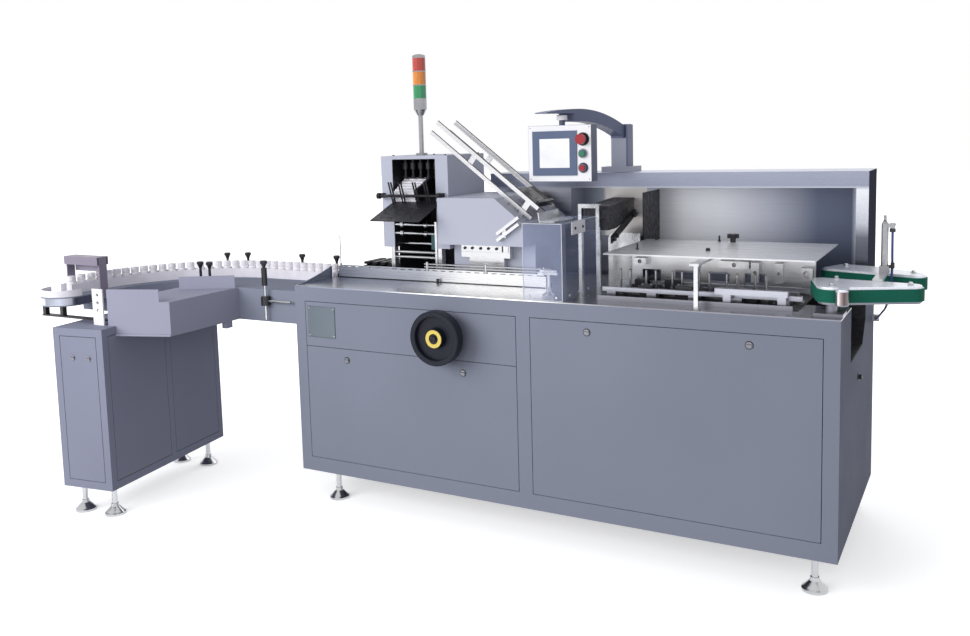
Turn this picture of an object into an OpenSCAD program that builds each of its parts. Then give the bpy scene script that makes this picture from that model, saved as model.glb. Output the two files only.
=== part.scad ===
// Automatic cartoner with a bottle infeed. Sizes in millimetres, +Z up, +X towards the outfeed.

/* [Cabinet] */
// length of the main cabinet
cab_l = 2150; // [2050:10:2300]
// depth of the main cabinet
cab_d = 900; // [880:10:1000]
// height of the main cabinet without its feet
cab_h = 786; // [740:2:840]
// height of the levelling feet
foot_h = 120; // [90:5:140]
// width of the end stiles around the front panels
stile_w = 50; // [35:1:70]
// width of the post between the left and right front panels
mid_post_w = 55; // [40:1:80]
// width of the left front opening
left_open_w = 978; // [900:2:1040]
// height of the rail below the panels
bottom_rail_h = 60; // [40:2:90]
// height of the rail above the panels
top_rail_h = 58; // [40:2:80]
// height of the lower left panel
lower_panel_h = 478; // [420:2:500]
// thickness of the lift-off panels
panel_t = 18; // [12:1:25]
// gap around every panel
panel_gap = 2.5; // [1.5:0.5:4]
// diameter of the quarter-turn locks
lock_d = 22; // [16:1:30]
// diameter of the foot pads
pad_d = 84; // [60:2:100]

/* [Worktop] */
// thickness of the stainless worktop
worktop_t = 4; // [3:0.5:8]
// length of the open trough at the right end
trough_l = 250; // [180:10:320]
// width of the land in front of the trough
trough_front = 236; // [220:2:260]
// width of the trough
trough_w = 394; // [340:2:410]
// depth of the trough below the worktop
trough_h = 190; // [120:5:260]
// height and depth of the sloped corner at the back of the trough floor
trough_cham = 80; // [40:5:110]
// setback of the raised product ledge from the front
ledge_y = 270; // [255:1:290]
// height of the raised product ledge
ledge_h = 45; // [30:1:60]
// thickness of the ledge sheet
ledge_t = 4; // [3:0.5:6]
// length of the raised product ledge
ledge_l = 1000; // [940:10:1040]
// width of the flange on top of the ledge
ledge_w = 18; // [14:1:20]
// height of the end plate at the left of the worktop
end_plate_h = 50; // [30:1:60]
// width of the product chain
bucket_w = 34; // [24:1:36]
// pitch of the product buckets
bucket_pitch = 76; // [60:1:90]
// diameter of the guide rods over the ledge
guide_rod_d = 8; // [6:0.5:10]

/* [Rear hood] */
// length of the rear hood
hood_l = 1560; // [1540:10:1565]
// depth of the rear hood
hood_d = 235; // [215:5:245]
// height of the rear hood above the cabinet
hood_h = 436; // [400:2:470]
// height of the beam above the hood opening
hood_beam_h = 62; // [45:1:80]
// width of the right hood post
hood_post_w = 43; // [30:1:60]
// length of the hood opening
hood_open_l = 818; // [780:2:840]
// thickness of the hood back
hood_back_t = 20; // [10:1:30]
// setback of the closed hood front behind the beam
hood_setback = 60; // [40:2:90]

/* [Handwheel] */
// diameter of the handwheel
wheel_d = 210; // [170:2:240]
// distance of the handwheel axis from the left end
wheel_x = 733; // [650:1:760]
// distance of the handwheel axis below the worktop
wheel_drop = 151; // [140:1:165]
// thickness of the handwheel rim
rim_t = 44; // [34:1:56]
// width of the handwheel rim
rim_w = 22; // [18:1:28]
// diameter of the handwheel shaft
shaft_d = 25; // [18:0.5:30]
// length of the shaft bearing
boss_l = 38; // [30:1:50]
// radial running clearance of the shaft
run_gap = 0.05; // [0.02:0.01:0.1]

/* [Leaflet folder] */
// distance of the leaflet housing from the left end
leaf_x = 235; // [220:1:240]
// length of the leaflet housing
leaf_l = 330; // [320:1:335]
// setback of the leaflet housing from the front
leaf_y = 330; // [330:1:350]
// depth of the leaflet housing
leaf_d = 320; // [280:5:330]
// height of the leaflet housing
leaf_h = 391; // [360:1:420]
// height of the leaflet housing above the worktop
leaf_rise = 133; // [125:1:150]
// width of the left wall of the leaflet housing
leaf_left_w = 56; // [40:1:64]
// width of the right wall of the leaflet housing
leaf_right_w = 60; // [40:1:64]
// thickness of the leaflet housing roof
leaf_roof_t = 14; // [8:1:24]
// slope of the leaflet tray
tray_slope = 19.5; // [15:0.5:24]

/* [Carton magazine] */
// length of the central housing
centre_l = 376; // [370:2:390]
// height of the central housing
centre_h = 352; // [330:2:380]
// height of the open niche under the central cover
niche_h = 162; // [140:2:180]
// length of the sloped corner of the central cover
slope_run = 126; // [110:2:140]
// slope of the carton magazine
slope_a = 38; // [34:1:42]
// length of the magazine rails
rail_l = 570; // [500:5:620]
// height of the magazine rails
rail_h = 18; // [14:1:24]
// spacing between lower and upper magazine rails
rail_step = 50; // [44:1:60]
// spacing between front and rear magazine rails
rail_span = 140; // [120:2:180]

/* [Carton line] */
// length of the clear guard
guard_l = 157; // [140:1:160]
// distance of the clear guard from the left end
guard_x = 1057; // [1050:1:1060]
// depth of the clear guard
guard_d = 372; // [300:2:400]
// height of the clear guard
guard_h = 280; // [250:2:320]
// thickness of the clear guard sheet
guard_t = 6; // [4:0.5:8]
// distance of the carton line from the guard
line_gap = 96; // [80:2:110]
// length of the cover plate
cover_l = 737; // [700:1:740]
// share of the free length that lies to the left of the cover plate
cover_share = 0.442; // [0.1:0.001:0.7]
// depth of the cover plate
cover_d = 500; // [440:2:520]
// height of the cover plate above the worktop
cover_rise = 156; // [140:2:175]
// thickness of the cover plate
cover_t = 5; // [4:0.5:8]
// pitch of the carton lugs
lug_pitch = 98; // [85:1:110]
// diameter of the carton lugs
lug_d = 9; // [7:0.5:12]
// height of the carton lugs
lug_h = 96; // [70:1:110]
// spacing of the two lugs of a pair
lug_gap = 36; // [28:1:44]
// width of the lug chain
lug_chain_w = 56; // [44:1:60]
// distance of the lug chain axis from the front
lug_y = 250; // [245:1:255]
// distance of the front carton rail from the front
front_rail_y = 150; // [140:1:160]
// distance between the two carton rails
carton_rail_span = 180; // [170:1:190]
// setback of the front strip of the carton line
apron_y = 100; // [90:1:110]
// height of the front strip of the carton line
apron_h = 16; // [12:1:24]

/* [Outfeed] */
// overhang of the outfeed belts past the right end
belt_over = 222; // [180:2:260]
// length of each outfeed belt unit
belt_l = 350; // [320:2:380]
// height of the outfeed belts
belt_h = 44; // [40:1:60]
// thickness of the outfeed belts
belt_t = 4; // [3:0.5:6]
// diameter of the belt pulleys
pulley_d = 64; // [56:1:72]
// thickness of the plates on the belt units
unit_plate_t = 6; // [4:0.5:8]
// height of the belts above the worktop
belt_rise = 45; // [40:1:60]
// distance of the front belt axis from the front
belt_y = 145; // [135:1:155]
// distance between the two belt axes
belt_span = 262; // [250:2:290]
// diameter of the air cylinder
cyl_d = 22; // [18:1:24]
// length of the air cylinder
cyl_l = 165; // [150:1:180]
// diameter of the air hose
hose_d = 8; // [6:0.5:10]

/* [Operator panel] */
// width of the operator panel
panel_w = 270; // [240:2:290]
// height of the operator panel
panel_h = 222; // [200:2:240]
// depth of the operator panel
panel_d = 60; // [50:1:80]
// distance of the panel axis from the left end
panel_x = 1040; // [1020:2:1060]
// setback of the panel axis from the front
panel_y = 430; // [420:2:450]
// height of the panel above the worktop
panel_rise = 410; // [400:2:430]
// diameter of the panel swivel stub
stub_d = 24; // [20:1:30]
// thickness of the swivel plate on the arm
arm_plate_t = 16; // [14:1:20]
// rise of the arm above the operator panel
arm_rise = 46; // [42:1:60]
// height of the curved arm
arm_h = 50; // [40:1:56]
// height of the plate under the arm's column
arm_base_t = 22; // [14:1:26]
// diameter of the push buttons
button_d = 22; // [18:1:26]
// travel of the push buttons
button_travel = 4; // [3:0.5:5]
// radial gap around the push buttons and the stub
slip_gap = 0.3; // [0.2:0.05:0.4]

/* [Signal tower] */
// diameter of the signal lamps
lamp_d = 56; // [45:1:65]
// height of one signal lamp
lamp_h = 58; // [45:1:65]
// height of the signal tower pole
pole_h = 170; // [140:5:220]
// diameter of the signal tower pole
pole_d = 20; // [14:1:26]

/* [Infeed] */
// width of the infeed cabinet
inf_w = 250; // [240:5:280]
// depth of the infeed cabinet
inf_d = 750; // [700:10:800]
// height of the infeed cabinet without its feet
inf_h = 665; // [640:5:670]
// turn of the infeed cabinet
inf_turn = 8; // [0:1:10]
// straight length of the infeed conveyor
run_l = 390; // [370:5:440]
// radius of the infeed bend
bend_r = 540; // [500:5:560]
// length of the infeed leg
leg_l = 160; // [140:5:220]
// width of the infeed conveyor
conv_w = 200; // [180:2:210]
// setback of the infeed lane from the front
conv_y = 309; // [300:1:315]
// width of the slat chain
slat_w = 60; // [50:1:90]
// pitch of the slats
slat_pitch = 38; // [32:1:44]
// thickness of the slat chain
chain_h = 12; // [8:1:16]
// height of the conveyor beam
beam_h = 139; // [110:1:150]
// diameter of the bottles
bottle_d = 38; // [30:1:40]
// height of the bottles
bottle_h = 62; // [50:1:72]
// distance from bottle to bottle
bottle_pitch = 42; // [40:1:50]
// drop of the infeed conveyor below the worktop
conv_drop = 26; // [20:1:36]
// height of the infeed guide rails
guide_h = 42; // [34:1:48]
// thickness of the infeed guide rails
guide_t = 4; // [3:0.5:6]

/* [Hidden] */
$fn = 64;
cut = 1;
clear = 5;
cab_top = foot_h + cab_h;
deck_z = cab_top + worktop_t;
hood_y = cab_d - hood_d;
hood_x = cab_l - hood_l;
hood_top = cab_top + hood_h;
hood_open_x = cab_l - hood_post_w - hood_open_l;
open_z = foot_h + bottom_rail_h;
open_h = cab_h - bottom_rail_h - top_rail_h;
right_open_x = stile_w + left_open_w + mid_post_w;
right_open_w = cab_l - right_open_x - stile_w;
wheel_z = deck_z - wheel_drop;
wheel_back = boss_l + clear + 1;
rim_mid = wheel_back + 34;
hub_top = wheel_back + 54;
leaf_z = deck_z + leaf_rise;
leaf_top = leaf_z + leaf_h;
centre_x = leaf_x + leaf_l + 4;
cover_x0 = centre_x - 12;
centre_y = 250;
centre_top = deck_z + centre_h;
slope_drop = slope_run * tan(slope_a);
centre_end = centre_x + centre_l;
guard_end = guard_x + guard_l;
line_x = guard_end + line_gap;
cover_y = hood_y - clear - cover_d;
cover_z = deck_z + cover_rise;
belt_z = deck_z + belt_rise;
belt_end = cab_l + belt_over;
belt_x = belt_end - belt_l;
rail_end = belt_x - 15;
cyl_x = belt_end - 135;
cyl_y = belt_y + 200;
cyl_block = 30;
cyl_left = cyl_x - 64 - clear;
cover_x = guard_end + cover_share * (cyl_left - guard_end - cover_l);
panel_z = deck_z + panel_rise;
panel_top = panel_z + panel_h;
arm_z = panel_top + arm_rise;
leg_x = -run_l - bend_r;
bend_y = conv_y - bend_r;
loop_y = bend_y - leg_l;
conv_z = deck_z - conv_drop;
belt_drum_h = 40;
lane_half = slat_w / 2 + 2;
bridge_sheet_t = 6;
inf_x = -537;
inf_y = -547;
inf_top = foot_h + inf_h;
tray_x = -320;
tray_front = [[tray_x, -390], [-580, -475]];
x_min = min(leg_x - conv_w / 2 - bridge_sheet_t, inf_x - inf_w * cos(inf_turn) - inf_d * sin(inf_turn));
y_min = min(inf_y - inf_w * sin(inf_turn), loop_y - conv_w / 2);
mid_x = (x_min + belt_end) / 2;
mid_y = (y_min + cab_d) / 2;

paint = [0.55, 0.57, 0.62];
steel = [0.75, 0.76, 0.78];
dark = [0.12, 0.12, 0.13];
white = [0.92, 0.92, 0.9];

// moves the machine so that the middle of its footprint is the origin
module place() {
  translate([-mid_x, -mid_y, 0]) children();
}

// frame of the turned infeed cabinet, at its front right corner
module infeed_frame() {
  translate([inf_x, inf_y, 0]) rotate([0, 0, inf_turn]) children();
}

// frame that lies on the sloped corner, x down the slope, z away from it
module slope_frame() {
  translate([centre_end - slope_run, 0, centre_top]) rotate([0, slope_a, 0]) children();
}

module box(x0, x1, y0, y1, z0, z1) {
  translate([x0, y0, z0]) cube([x1 - x0, y1 - y0, z1 - z0]);
}

module post(x, y, z0, z1, d) {
  translate([x, y, z0]) cylinder(h = z1 - z0, d = d);
}

// rod along Y between two depths
module rod_y(x, z, y0, y1, d) {
  translate([x, y1, z]) rotate([90, 0, 0]) cylinder(h = y1 - y0, d = d);
}

// rod along X between two lengths
module rod_x(y, z, x0, x1, d) {
  translate([x0, y, z]) rotate([0, 90, 0]) cylinder(h = x1 - x0, d = d);
}

// one opening of the front, as x, z, width, height
front_openings = [[stile_w, open_z, left_open_w, open_h], [right_open_x, open_z, right_open_w, open_h]];

module cabinet_block() {
  box(0, cab_l, 0, cab_d, foot_h, cab_top);
}

// the open trough at the right end, drawn up to over above the worktop
module trough(over) {
  translate([cab_l - trough_l, trough_front, deck_z]) rotate([90, 0, 90]) linear_extrude(trough_l + cut)
    polygon([[0, over], [0, -trough_h], [trough_w - trough_cham, -trough_h], [trough_w,
      -trough_h + trough_cham],
      [trough_w, over]]);
}

module cabinet() {
  color(paint) difference() {
    cabinet_block();
    for (p = front_openings) box(p[0], p[0] + p[2], -cut, panel_t, p[1], p[1] + p[3]);
    for (p = front_openings) box(p[0], p[0] + p[2], cab_d - panel_t, cab_d + cut, p[1], p[1] + p[3]);
    trough(cut);
  }
}

module front_panels() {
  color(paint) {
    box(stile_w + panel_gap, stile_w + left_open_w - panel_gap, 0, panel_t, open_z + panel_gap,
      open_z + lower_panel_h);
    box(stile_w + panel_gap, stile_w + left_open_w - panel_gap, 0, panel_t,
      open_z + lower_panel_h + panel_gap,
      open_z + open_h - panel_gap);
    box(right_open_x + panel_gap, right_open_x + right_open_w - panel_gap, 0, panel_t, open_z + panel_gap,
      open_z + open_h - panel_gap);
  }
}

module rear_panels() {
  color(paint) for (p = front_openings)
    box(p[0] + panel_gap, p[0] + p[2] - panel_gap, cab_d - panel_t, cab_d, p[1] + panel_gap,
      p[1] + p[3] - panel_gap);
}

// one quarter-turn lock, standing on a face at z = 0
module lock() {
  cylinder(h = 3, d = lock_d);
  translate([-lock_d / 2 + 2, -2.5, 3]) cube([lock_d - 4, 5, 4]);
}

lower_lock_z = open_z + lower_panel_h - 45;
upper_lock_z = open_z + open_h - 39;

module panel_locks() {
  color(steel) {
    for (x = [0.21, 0.766]) translate([stile_w + left_open_w * x, 0, lower_lock_z]) rotate([90, 0, 0]) lock();
    for (x = [0.22, 0.775]) translate([right_open_x + right_open_w * x, 0, upper_lock_z]) rotate([90,
      0, 0]) lock();
    for (p = front_openings, x = [0.22, 0.78])
      translate([p[0] + p[2] * x, cab_d, upper_lock_z]) rotate([-90, 0, 0]) lock();
    infeed_frame() for (x = [0.3, 0.62])
      translate([-inf_w * x, 0, inf_top - 120]) rotate([90, 0, 0]) lock();
  }
}

module foot() {
  rotate_extrude() polygon([[0, 0], [pad_d / 2, 0], [pad_d / 2, 9], [pad_d / 2 - 6, 14], [17, 34], [14,
    46], [0, 46]]);
  cylinder(h = foot_h, d = 22);
  translate([0, 0, foot_h - 14]) cylinder(h = 14, d = 40, $fn = 6);
}

module levelling_feet() {
  color(steel) {
    for (x = [150, cab_l - 76], y = [48, cab_d - 48]) translate([x, y, 0]) foot();
    infeed_frame() for (x = [-inf_w + 48, -48], y = [60, inf_d - 60]) translate([x, y, 0]) foot();
  }
}

module worktop() {
  color(steel) difference() {
    box(0, cab_l, 0, hood_y, cab_top, deck_z);
    trough(cut);
  }
}

ledge_x = 30;
ledge_end = ledge_x + ledge_l;
end_plate_y = 20;
end_plate_l = ledge_y - 15 - end_plate_y;

module product_ledge() {
  color(steel) {
    translate([ledge_x, ledge_y, deck_z]) rotate([90, 0, 90]) linear_extrude(ledge_l)
      polygon([[0, 0], [ledge_t, 0], [ledge_t, ledge_h - ledge_t], [ledge_w, ledge_h - ledge_t],
        [ledge_w, ledge_h],
        [0, ledge_h]]);
    translate([0, end_plate_y, deck_z]) rotate([90, 0, 90]) linear_extrude(ledge_t)
      polygon(concat([[end_plate_l, 0], [end_plate_l, end_plate_h]],
        [for (k = [9 : -1 : 0]) [end_plate_l * k / 10, 2 + (end_plate_h - 2) * pow(k / 10, 1.4)]], [[0, 0]]));
  }
}

// two rods over the ledge on short posts, and the rods of the infeed clamp
module guide_rods() {
  color(steel) {
    for (z = [16, 28]) rod_x(ledge_y + ledge_w / 2, deck_z + ledge_h + z, rod_x0, rod_x1, guide_rod_d);
    for (x = [rod_x0 + 12, (rod_x0 + rod_x1) / 2, ledge_end - 12])
      post(x, ledge_y + ledge_w / 2, deck_z + ledge_h, deck_z + ledge_h + 36, guide_rod_d + 3);
    post(clamp_x, clamp_y, clamp_z + clamp_r, conv_z + 20, rod_d);
    post(clamp_x, clamp_y, conv_z - beam_h + 12, clamp_z - clamp_r, rod_d);
    rod_x(clamp_y, clamp_z, clamp_x + clamp_r, -14, rod_d);
  }
}

rod_x0 = ledge_x + 440;
rod_x1 = guard_x - 7;
rod_d = 10;
clamp_x = -150;
clamp_y = -14;
clamp_z = conv_z - 46;
clamp_r = 19;

chain_y = ledge_y + ledge_w + 4;
sprocket_x = 735;
pusher_x = 60;
pusher_l = 200;

module product_chain() {
  color(dark) {
    box(6, ledge_end, chain_y, chain_y + bucket_w, deck_z, deck_z + 10);
    for (x = [20 : bucket_pitch : ledge_l]) translate([x, chain_y, deck_z]) {
      cube([5, bucket_w, ledge_h - 6]);
      translate([0, 0, 9]) cube([bucket_pitch - 8, bucket_w, 4]);
      translate([bucket_pitch - 14, 0, 9]) cube([6, bucket_w, 14]);
    }
    intersection() {
      rod_y(sprocket_x, deck_z, chain_y - 2, chain_y + 10, 76);
      box(sprocket_x - 50, sprocket_x + 50, chain_y - 2, chain_y + 20, deck_z, deck_z + 50);
    }
    box(pusher_x, pusher_x + pusher_l, 440, 540, deck_z, deck_z + 40);
    for (k = [0 : 4]) box(pusher_x + k * 44, pusher_x + k * 44 + 26, 420, 560, deck_z + 39, deck_z + 50);
    for (k = [0 : 4]) rod_y(pusher_x + k * 44 + 13, deck_z + 30, 400, 441, 12);
  }
}

module hood_frame() {
  color(steel) {
    box(hood_x, cab_l, hood_y, cab_d, hood_top - hood_beam_h, hood_top);
    box(cab_l - hood_post_w, cab_l, hood_y, cab_d, cab_top, hood_top);
    box(hood_x, hood_open_x, hood_y + hood_setback, cab_d, cab_top, hood_top);
  }
}

module hood_back() {
  color(steel)
    box(hood_open_x, cab_l - hood_post_w, cab_d - hood_back_t, cab_d, cab_top, hood_top - hood_beam_h);
}

// frame of the handwheel: z comes out of the panel towards the front
module wheel_frame() {
  translate([wheel_x, 0, wheel_z]) rotate([90, 0, 0]) children();
}

module handwheel_boss() {
  color(dark) wheel_frame() difference() {
    union() {
      cylinder(h = boss_l, d = shaft_d + 26);
      cylinder(h = 8, d = shaft_d + 52);
    }
    translate([0, 0, 4]) cylinder(h = boss_l, d = shaft_d + 2 * run_gap);
  }
}

module rim_section() {
  translate([wheel_d / 2 - rim_w, -rim_t / 2 + 6]) square([rim_w, rim_t - 12]);
  for (s = [-1, 1]) translate([wheel_d / 2 - rim_w + 6, s * (rim_t / 2 - 6)]) {
    circle(r = 6);
    translate([rim_w - 12, 0]) circle(r = 6);
  }
  translate([wheel_d / 2 - rim_w + 6, -rim_t / 2]) square([rim_w - 12, rim_t]);
}

module handwheel() {
  color(dark) wheel_frame() {
    rotate_extrude() translate([0, rim_mid]) rim_section();
    rotate_extrude() polygon([[0, wheel_back], [30, wheel_back], [wheel_d / 2 - rim_w + 2, rim_mid - 8],
      [wheel_d / 2 - rim_w + 2, rim_mid + 2], [40, hub_top - 22], [36, hub_top], [0, hub_top]]);
    translate([0, 0, 8]) cylinder(h = wheel_back - 8 + cut, d = shaft_d);
    translate([0, 0, hub_top - cut]) cylinder(h = 9, d = 24, $fn = 6);
  }
}

module handwheel_ring() {
  color([0.95, 0.75, 0.1]) wheel_frame() translate([0, 0, hub_top]) difference() {
    cylinder(h = 3, d = 68);
    translate([0, 0, -cut]) cylinder(h = 5, d = 40);
  }
}

module leaflet_housing() {
  color(paint) difference() {
    box(leaf_x, leaf_x + leaf_l, leaf_y, leaf_y + leaf_d, leaf_z, leaf_top);
    box(leaf_x + leaf_left_w, leaf_x + leaf_l - leaf_right_w, leaf_y - cut, leaf_y + leaf_d - 20,
      leaf_z - cut,
      leaf_top - leaf_roof_t);
  }
}

module leaflet_stand() {
  color(steel) {
    for (x = [leaf_in0 - 20, leaf_in1 + 2], y = [leaf_y, leaf_y + leaf_d - 40])
      box(x, x + 18, y, y + 30, deck_z, leaf_z);
    for (z = [leaf_z - 21, leaf_z - 43]) rod_x(leaf_y + 15, z, leaf_in0 - 2, leaf_post, 12);
    box(leaf_post, leaf_in1 - liner_t, leaf_y, leaf_y + 24, deck_z, leaf_z + 112);
  }
}

leaf_in0 = leaf_x + leaf_left_w;
leaf_in1 = leaf_x + leaf_l - leaf_right_w;
leaf_mid = (leaf_in0 + leaf_in1) / 2;
liner_t = 2;
leaf_post = leaf_in1 - 12;
leaf_ceiling = leaf_top - leaf_roof_t - liner_t;

// frame of the sloped leaflet tray, held between the housing walls, y up the slope
module tray_frame() {
  translate([leaf_mid, leaf_y - 15, leaf_z + 192]) rotate([tray_slope, 0, 0]) children();
}

tray_w = leaf_in1 - leaf_in0;
tray_l = 160;
tray_over = 188;
tray_wing = 32;

module leaflet_tray() {
  color(dark) {
    tray_frame() {
      difference() {
        translate([9 - tray_w / 2, -tray_over, 0]) cube([tray_w - 9 + tray_wing, tray_over + 10, 4]);
        for (x = [-60, -10, 40, 90], y = [-160, -115, -70]) translate([x, y, -cut]) cylinder(h = 6, d = 10);
      }
      translate([cut - tray_w / 2, 9, 0]) cube([tray_w - 2 * cut, tray_l - 9, 4]);
      translate([20, 9, 3]) cube([13, tray_l - 9, 56]);
    }
    for (x = [leaf_in0, leaf_in1 - liner_t])
      box(x, x + liner_t, leaf_y + cut, leaf_y + leaf_d - 22, leaf_z, leaf_ceiling + cut);
    box(leaf_in0, leaf_in0 + liner_t, leaf_y + 34, leaf_y + leaf_d - 22, deck_z, leaf_z + cut);
    box(leaf_in0, leaf_in1, leaf_y + leaf_d - 24, leaf_y + leaf_d - 20, deck_z, leaf_ceiling + cut);
    box(leaf_in0, leaf_in1, leaf_y + cut, leaf_y + leaf_d - 20, leaf_ceiling, leaf_ceiling + liner_t);
  }
}

// paper leaflets on the tray, held back by the fingers
module leaflet_stack() {
  color(white) tray_frame() {
    for (k = [0 : 5]) translate([-93, 6 + k * 21, 4]) cube([109, 19, 42 + k * 3.6]);
  }
}

finger_y = -12;
finger_bar = 38;
finger_h = 96;
finger_x0 = leaf_x + 3;
finger_x1 = leaf_in1 + 43;
spindle_l = 72;

module leaflet_fingers() {
  color(dark) {
    tray_frame() {
      for (x = [-90, -78, -40, -28, 30, 42, 84, 96]) translate([x, finger_y, 4]) cylinder(h = finger_h,
        d = 7);
      translate([finger_x0 - leaf_mid, finger_y, finger_bar]) rotate([0, 90, 0])
        cylinder(h = finger_x1 - finger_x0, d = 12);
      for (x = [finger_x0, finger_x1 - 14])
        translate([x - leaf_mid, finger_y, finger_bar]) rotate([0, 90, 0]) cylinder(h = 14, d = 26);
    }
    for (x = [finger_x0, finger_x1 - 14])
      box(x, x + 14, leaf_y - 40, leaf_y, leaf_z + 214, leaf_z + 234);
    for (k = [0 : 4]) translate([leaf_in0 + 30 + k * (tray_w - 60) / 4, leaf_y + 60,
      leaf_ceiling - spindle_l]) {
      cylinder(h = spindle_l, d = 12);
      translate([0, 0, 30]) cylinder(h = 28, d = 24);
      translate([0, 0, -10]) cylinder(h = 14, d1 = 26, d2 = 16);
    }
  }
}

module leaflet_shafts() {
  color(steel) {
    for (z = [98, 61]) {
      rod_x(leaf_y + 8, leaf_z + z, leaf_in0 + liner_t, leaf_post, 12);
      for (k = [0.14, 0.7])
        rod_x(leaf_y + 8, leaf_z + z, leaf_in0 + tray_w * k, leaf_in0 + tray_w * k + 14, 24);
    }
    for (p = [[190, 290], [60, 12]])
      rod_x(leaf_y + p[0], leaf_z + p[1], leaf_in0 + liner_t, leaf_in1 - liner_t, 14);
  }
}

module centre_housing() {
  color(paint) difference() {
    translate([centre_x, hood_y, deck_z]) rotate([90, 0, 0]) linear_extrude(hood_y - centre_y - 8)
      polygon([[0, 0], [centre_l, 0], [centre_l, centre_h - slope_drop], [centre_l - slope_run, centre_h],
        [0, centre_h]]);
    box(centre_x - cut, centre_end + cut, centre_y - cut, centre_y + 110, deck_z - cut, deck_z + niche_h);
  }
}

module centre_cover() {
  color(paint) translate([cover_x0, centre_y + 8, deck_z + niche_h]) rotate([90, 0, 0]) linear_extrude(8)
    polygon([[0, 0], [centre_end - cover_x0, 0], [centre_end - cover_x0, centre_h - niche_h - slope_drop],
      [centre_end - cover_x0 - slope_run, centre_h - niche_h], [0, centre_h - niche_h]]);
}

module cam_block() {
  color(steel) {
    box(centre_x + 56, centre_x + 280, chain_y + 30, centre_y + 110, deck_z + niche_h - 58, deck_z + niche_h);
    box(centre_x + 90, centre_x + 250, chain_y + 36, centre_y + 110, deck_z, deck_z + niche_h - 58);
  }
}

mag_y = 300;
mag_end = 160;
mag_low = 12;
chute_y = 226;

// one angle of the magazine, its upright on the side given by s
module mag_angle(s) {
  rotate([90, 0, 90]) linear_extrude(rail_l)
    polygon([[0, 0], [s * 16, 0], [s * 16, 4], [s * 4, 4], [s * 4, rail_h], [0, rail_h]]);
}

module magazine_rails() {
  color(steel) {
    slope_frame() {
      for (s = [-1, 1], z = [mag_low, mag_low + rail_step])
        translate([mag_end - rail_l, mag_y + (rail_span + 14) * (1 - s) / 2, z]) mag_angle(s);
      for (s = [-1, 1], x = [-200, 100])
        translate([x, mag_y + (rail_span + 14) * (1 - s) / 2 - 4 * (1 - s) / 2, mag_low]) cube([24, 4,
          rail_step + 4]);
      for (s = [-1, 1], x = [20, 100])
        translate([x, mag_y + (rail_span + 14) * (1 - s) / 2 - 14 * (1 - s) / 2, 0]) cube([24, 14,
          mag_low + 1]);
    }
    for (z = [0, 26]) translate([centre_end - 102, chute_y, deck_z + niche_h + 20 + z]) rotate([0, -35, 0])
      cube([118, 16, 12]);
    box(centre_end - 84, centre_end - 68, chute_y + 8, centre_y, deck_z + niche_h + 36,
      deck_z + niche_h + 76);
  }
}

module magazine_gate() {
  color(dark) slope_frame() translate([0, mag_y + 4, mag_low + rail_step + 4]) {
    translate([36, 0, 0]) cube([112, rail_span + 6, 8]);
    translate([136, 0, 0]) cube([12, rail_span + 6, rail_h + 8]);
  }
}

guard_y = 8;
guard_round = 46;
frame_y = guard_y + guard_d + 12;

module clear_guard() {
  color([0.8, 0.9, 0.95, 0.3]) {
    box(guard_x, guard_end, guard_y, guard_y + guard_t, deck_z, deck_z + guard_h);
    translate([guard_end - guard_t, guard_y, deck_z]) rotate([90, 0, 90]) linear_extrude(guard_t) {
      square([guard_d - guard_round, guard_h]);
      square([guard_d, guard_h - guard_round]);
      translate([guard_d - guard_round, guard_h - guard_round]) circle(r = guard_round);
    }
    box(guard_x, guard_end, guard_y, guard_y + guard_d - guard_round, deck_z + guard_h - guard_t,
      deck_z + guard_h);
  }
}

// carton opening post inside the guard, plates on the guard and the bright frame behind it
module guard_fittings() {
  color(steel) {
    translate([guard_x + 58, guard_y + 104, deck_z]) {
      rotate_extrude() polygon([[0, 0], [26, 0], [26, 6], [12, 16], [8, 34], [8, 82], [0, 82]]);
      translate([-40, -13, 81]) cube([80, 26, 8]);
      translate([-34, -10, 88]) cube([68, 20, 10]);
    }
    difference() {
      box(guard_end, guard_end + 4, guard_y + 86, guard_y + 210, deck_z + guard_h - 48, deck_z + guard_h - 2);
      for (y = [112, 184])
        translate([guard_end - cut, guard_y + y, deck_z + guard_h - 25]) rotate([0, 90, 0])
          cylinder(h = 6, d = 14);
    }
    box(guard_x + 50, guard_x + 110, guard_y + 40, guard_y + 220, deck_z + guard_h, deck_z + guard_h + 4);
    translate([guard_x + 50, guard_y + 40, deck_z + guard_h]) rotate([0, -8, 0]) cube([4, 180, 36]);
    for (x = [guard_x + 61, guard_end - 22]) box(x, x + 14, frame_y, frame_y + 20, deck_z,
      deck_z + guard_h + 42);
    box(guard_x + 61, guard_end - 8, frame_y, frame_y + 20, deck_z + guard_h + 26, deck_z + guard_h + 42);
    translate([hood_open_x - 125, hood_y - 61, deck_z]) rotate([90, 0, 0]) linear_extrude(4) {
      translate([30, 0]) square([106, 190]);
      square([60, 160]);
      translate([30, 160]) circle(r = 30);
    }
  }
}

pickup_y = frame_y + 22;
pickup_x = hood_open_x - 149;
pickup_w = 95;
link_y = pickup_y + 40;

module pickup_cover() {
  color(dark) {
    translate([pickup_x, 0, deck_z]) rotate([90, 0, 90]) linear_extrude(pickup_w)
      polygon([[pickup_y, 218], [link_y + 56, 219], [hood_y + hood_setback, 263],
        [hood_y + hood_setback, 326],
        [pickup_y + 10, 312], [pickup_y, 302]]);
    translate([pickup_x + pickup_w - cut, 0, deck_z]) rotate([90, 0, 90]) linear_extrude(8)
      polygon([[link_y - 14, 164], [hood_y + 50, 250], [hood_y + 50, 276], [link_y - 14, 192]]);
    for (p = [[link_y, 182], [link_y + 30, 192], [hood_y + 30, 256]])
      rod_x(p[0], deck_z + p[1], pickup_x + pickup_w - cut, pickup_x + pickup_w + 16, 20);
    box(hood_open_x, hood_open_x + 4, hood_y + 2, cab_d - hood_back_t, deck_z + 10,
      hood_top - hood_beam_h - 20);
  }
}

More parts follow.
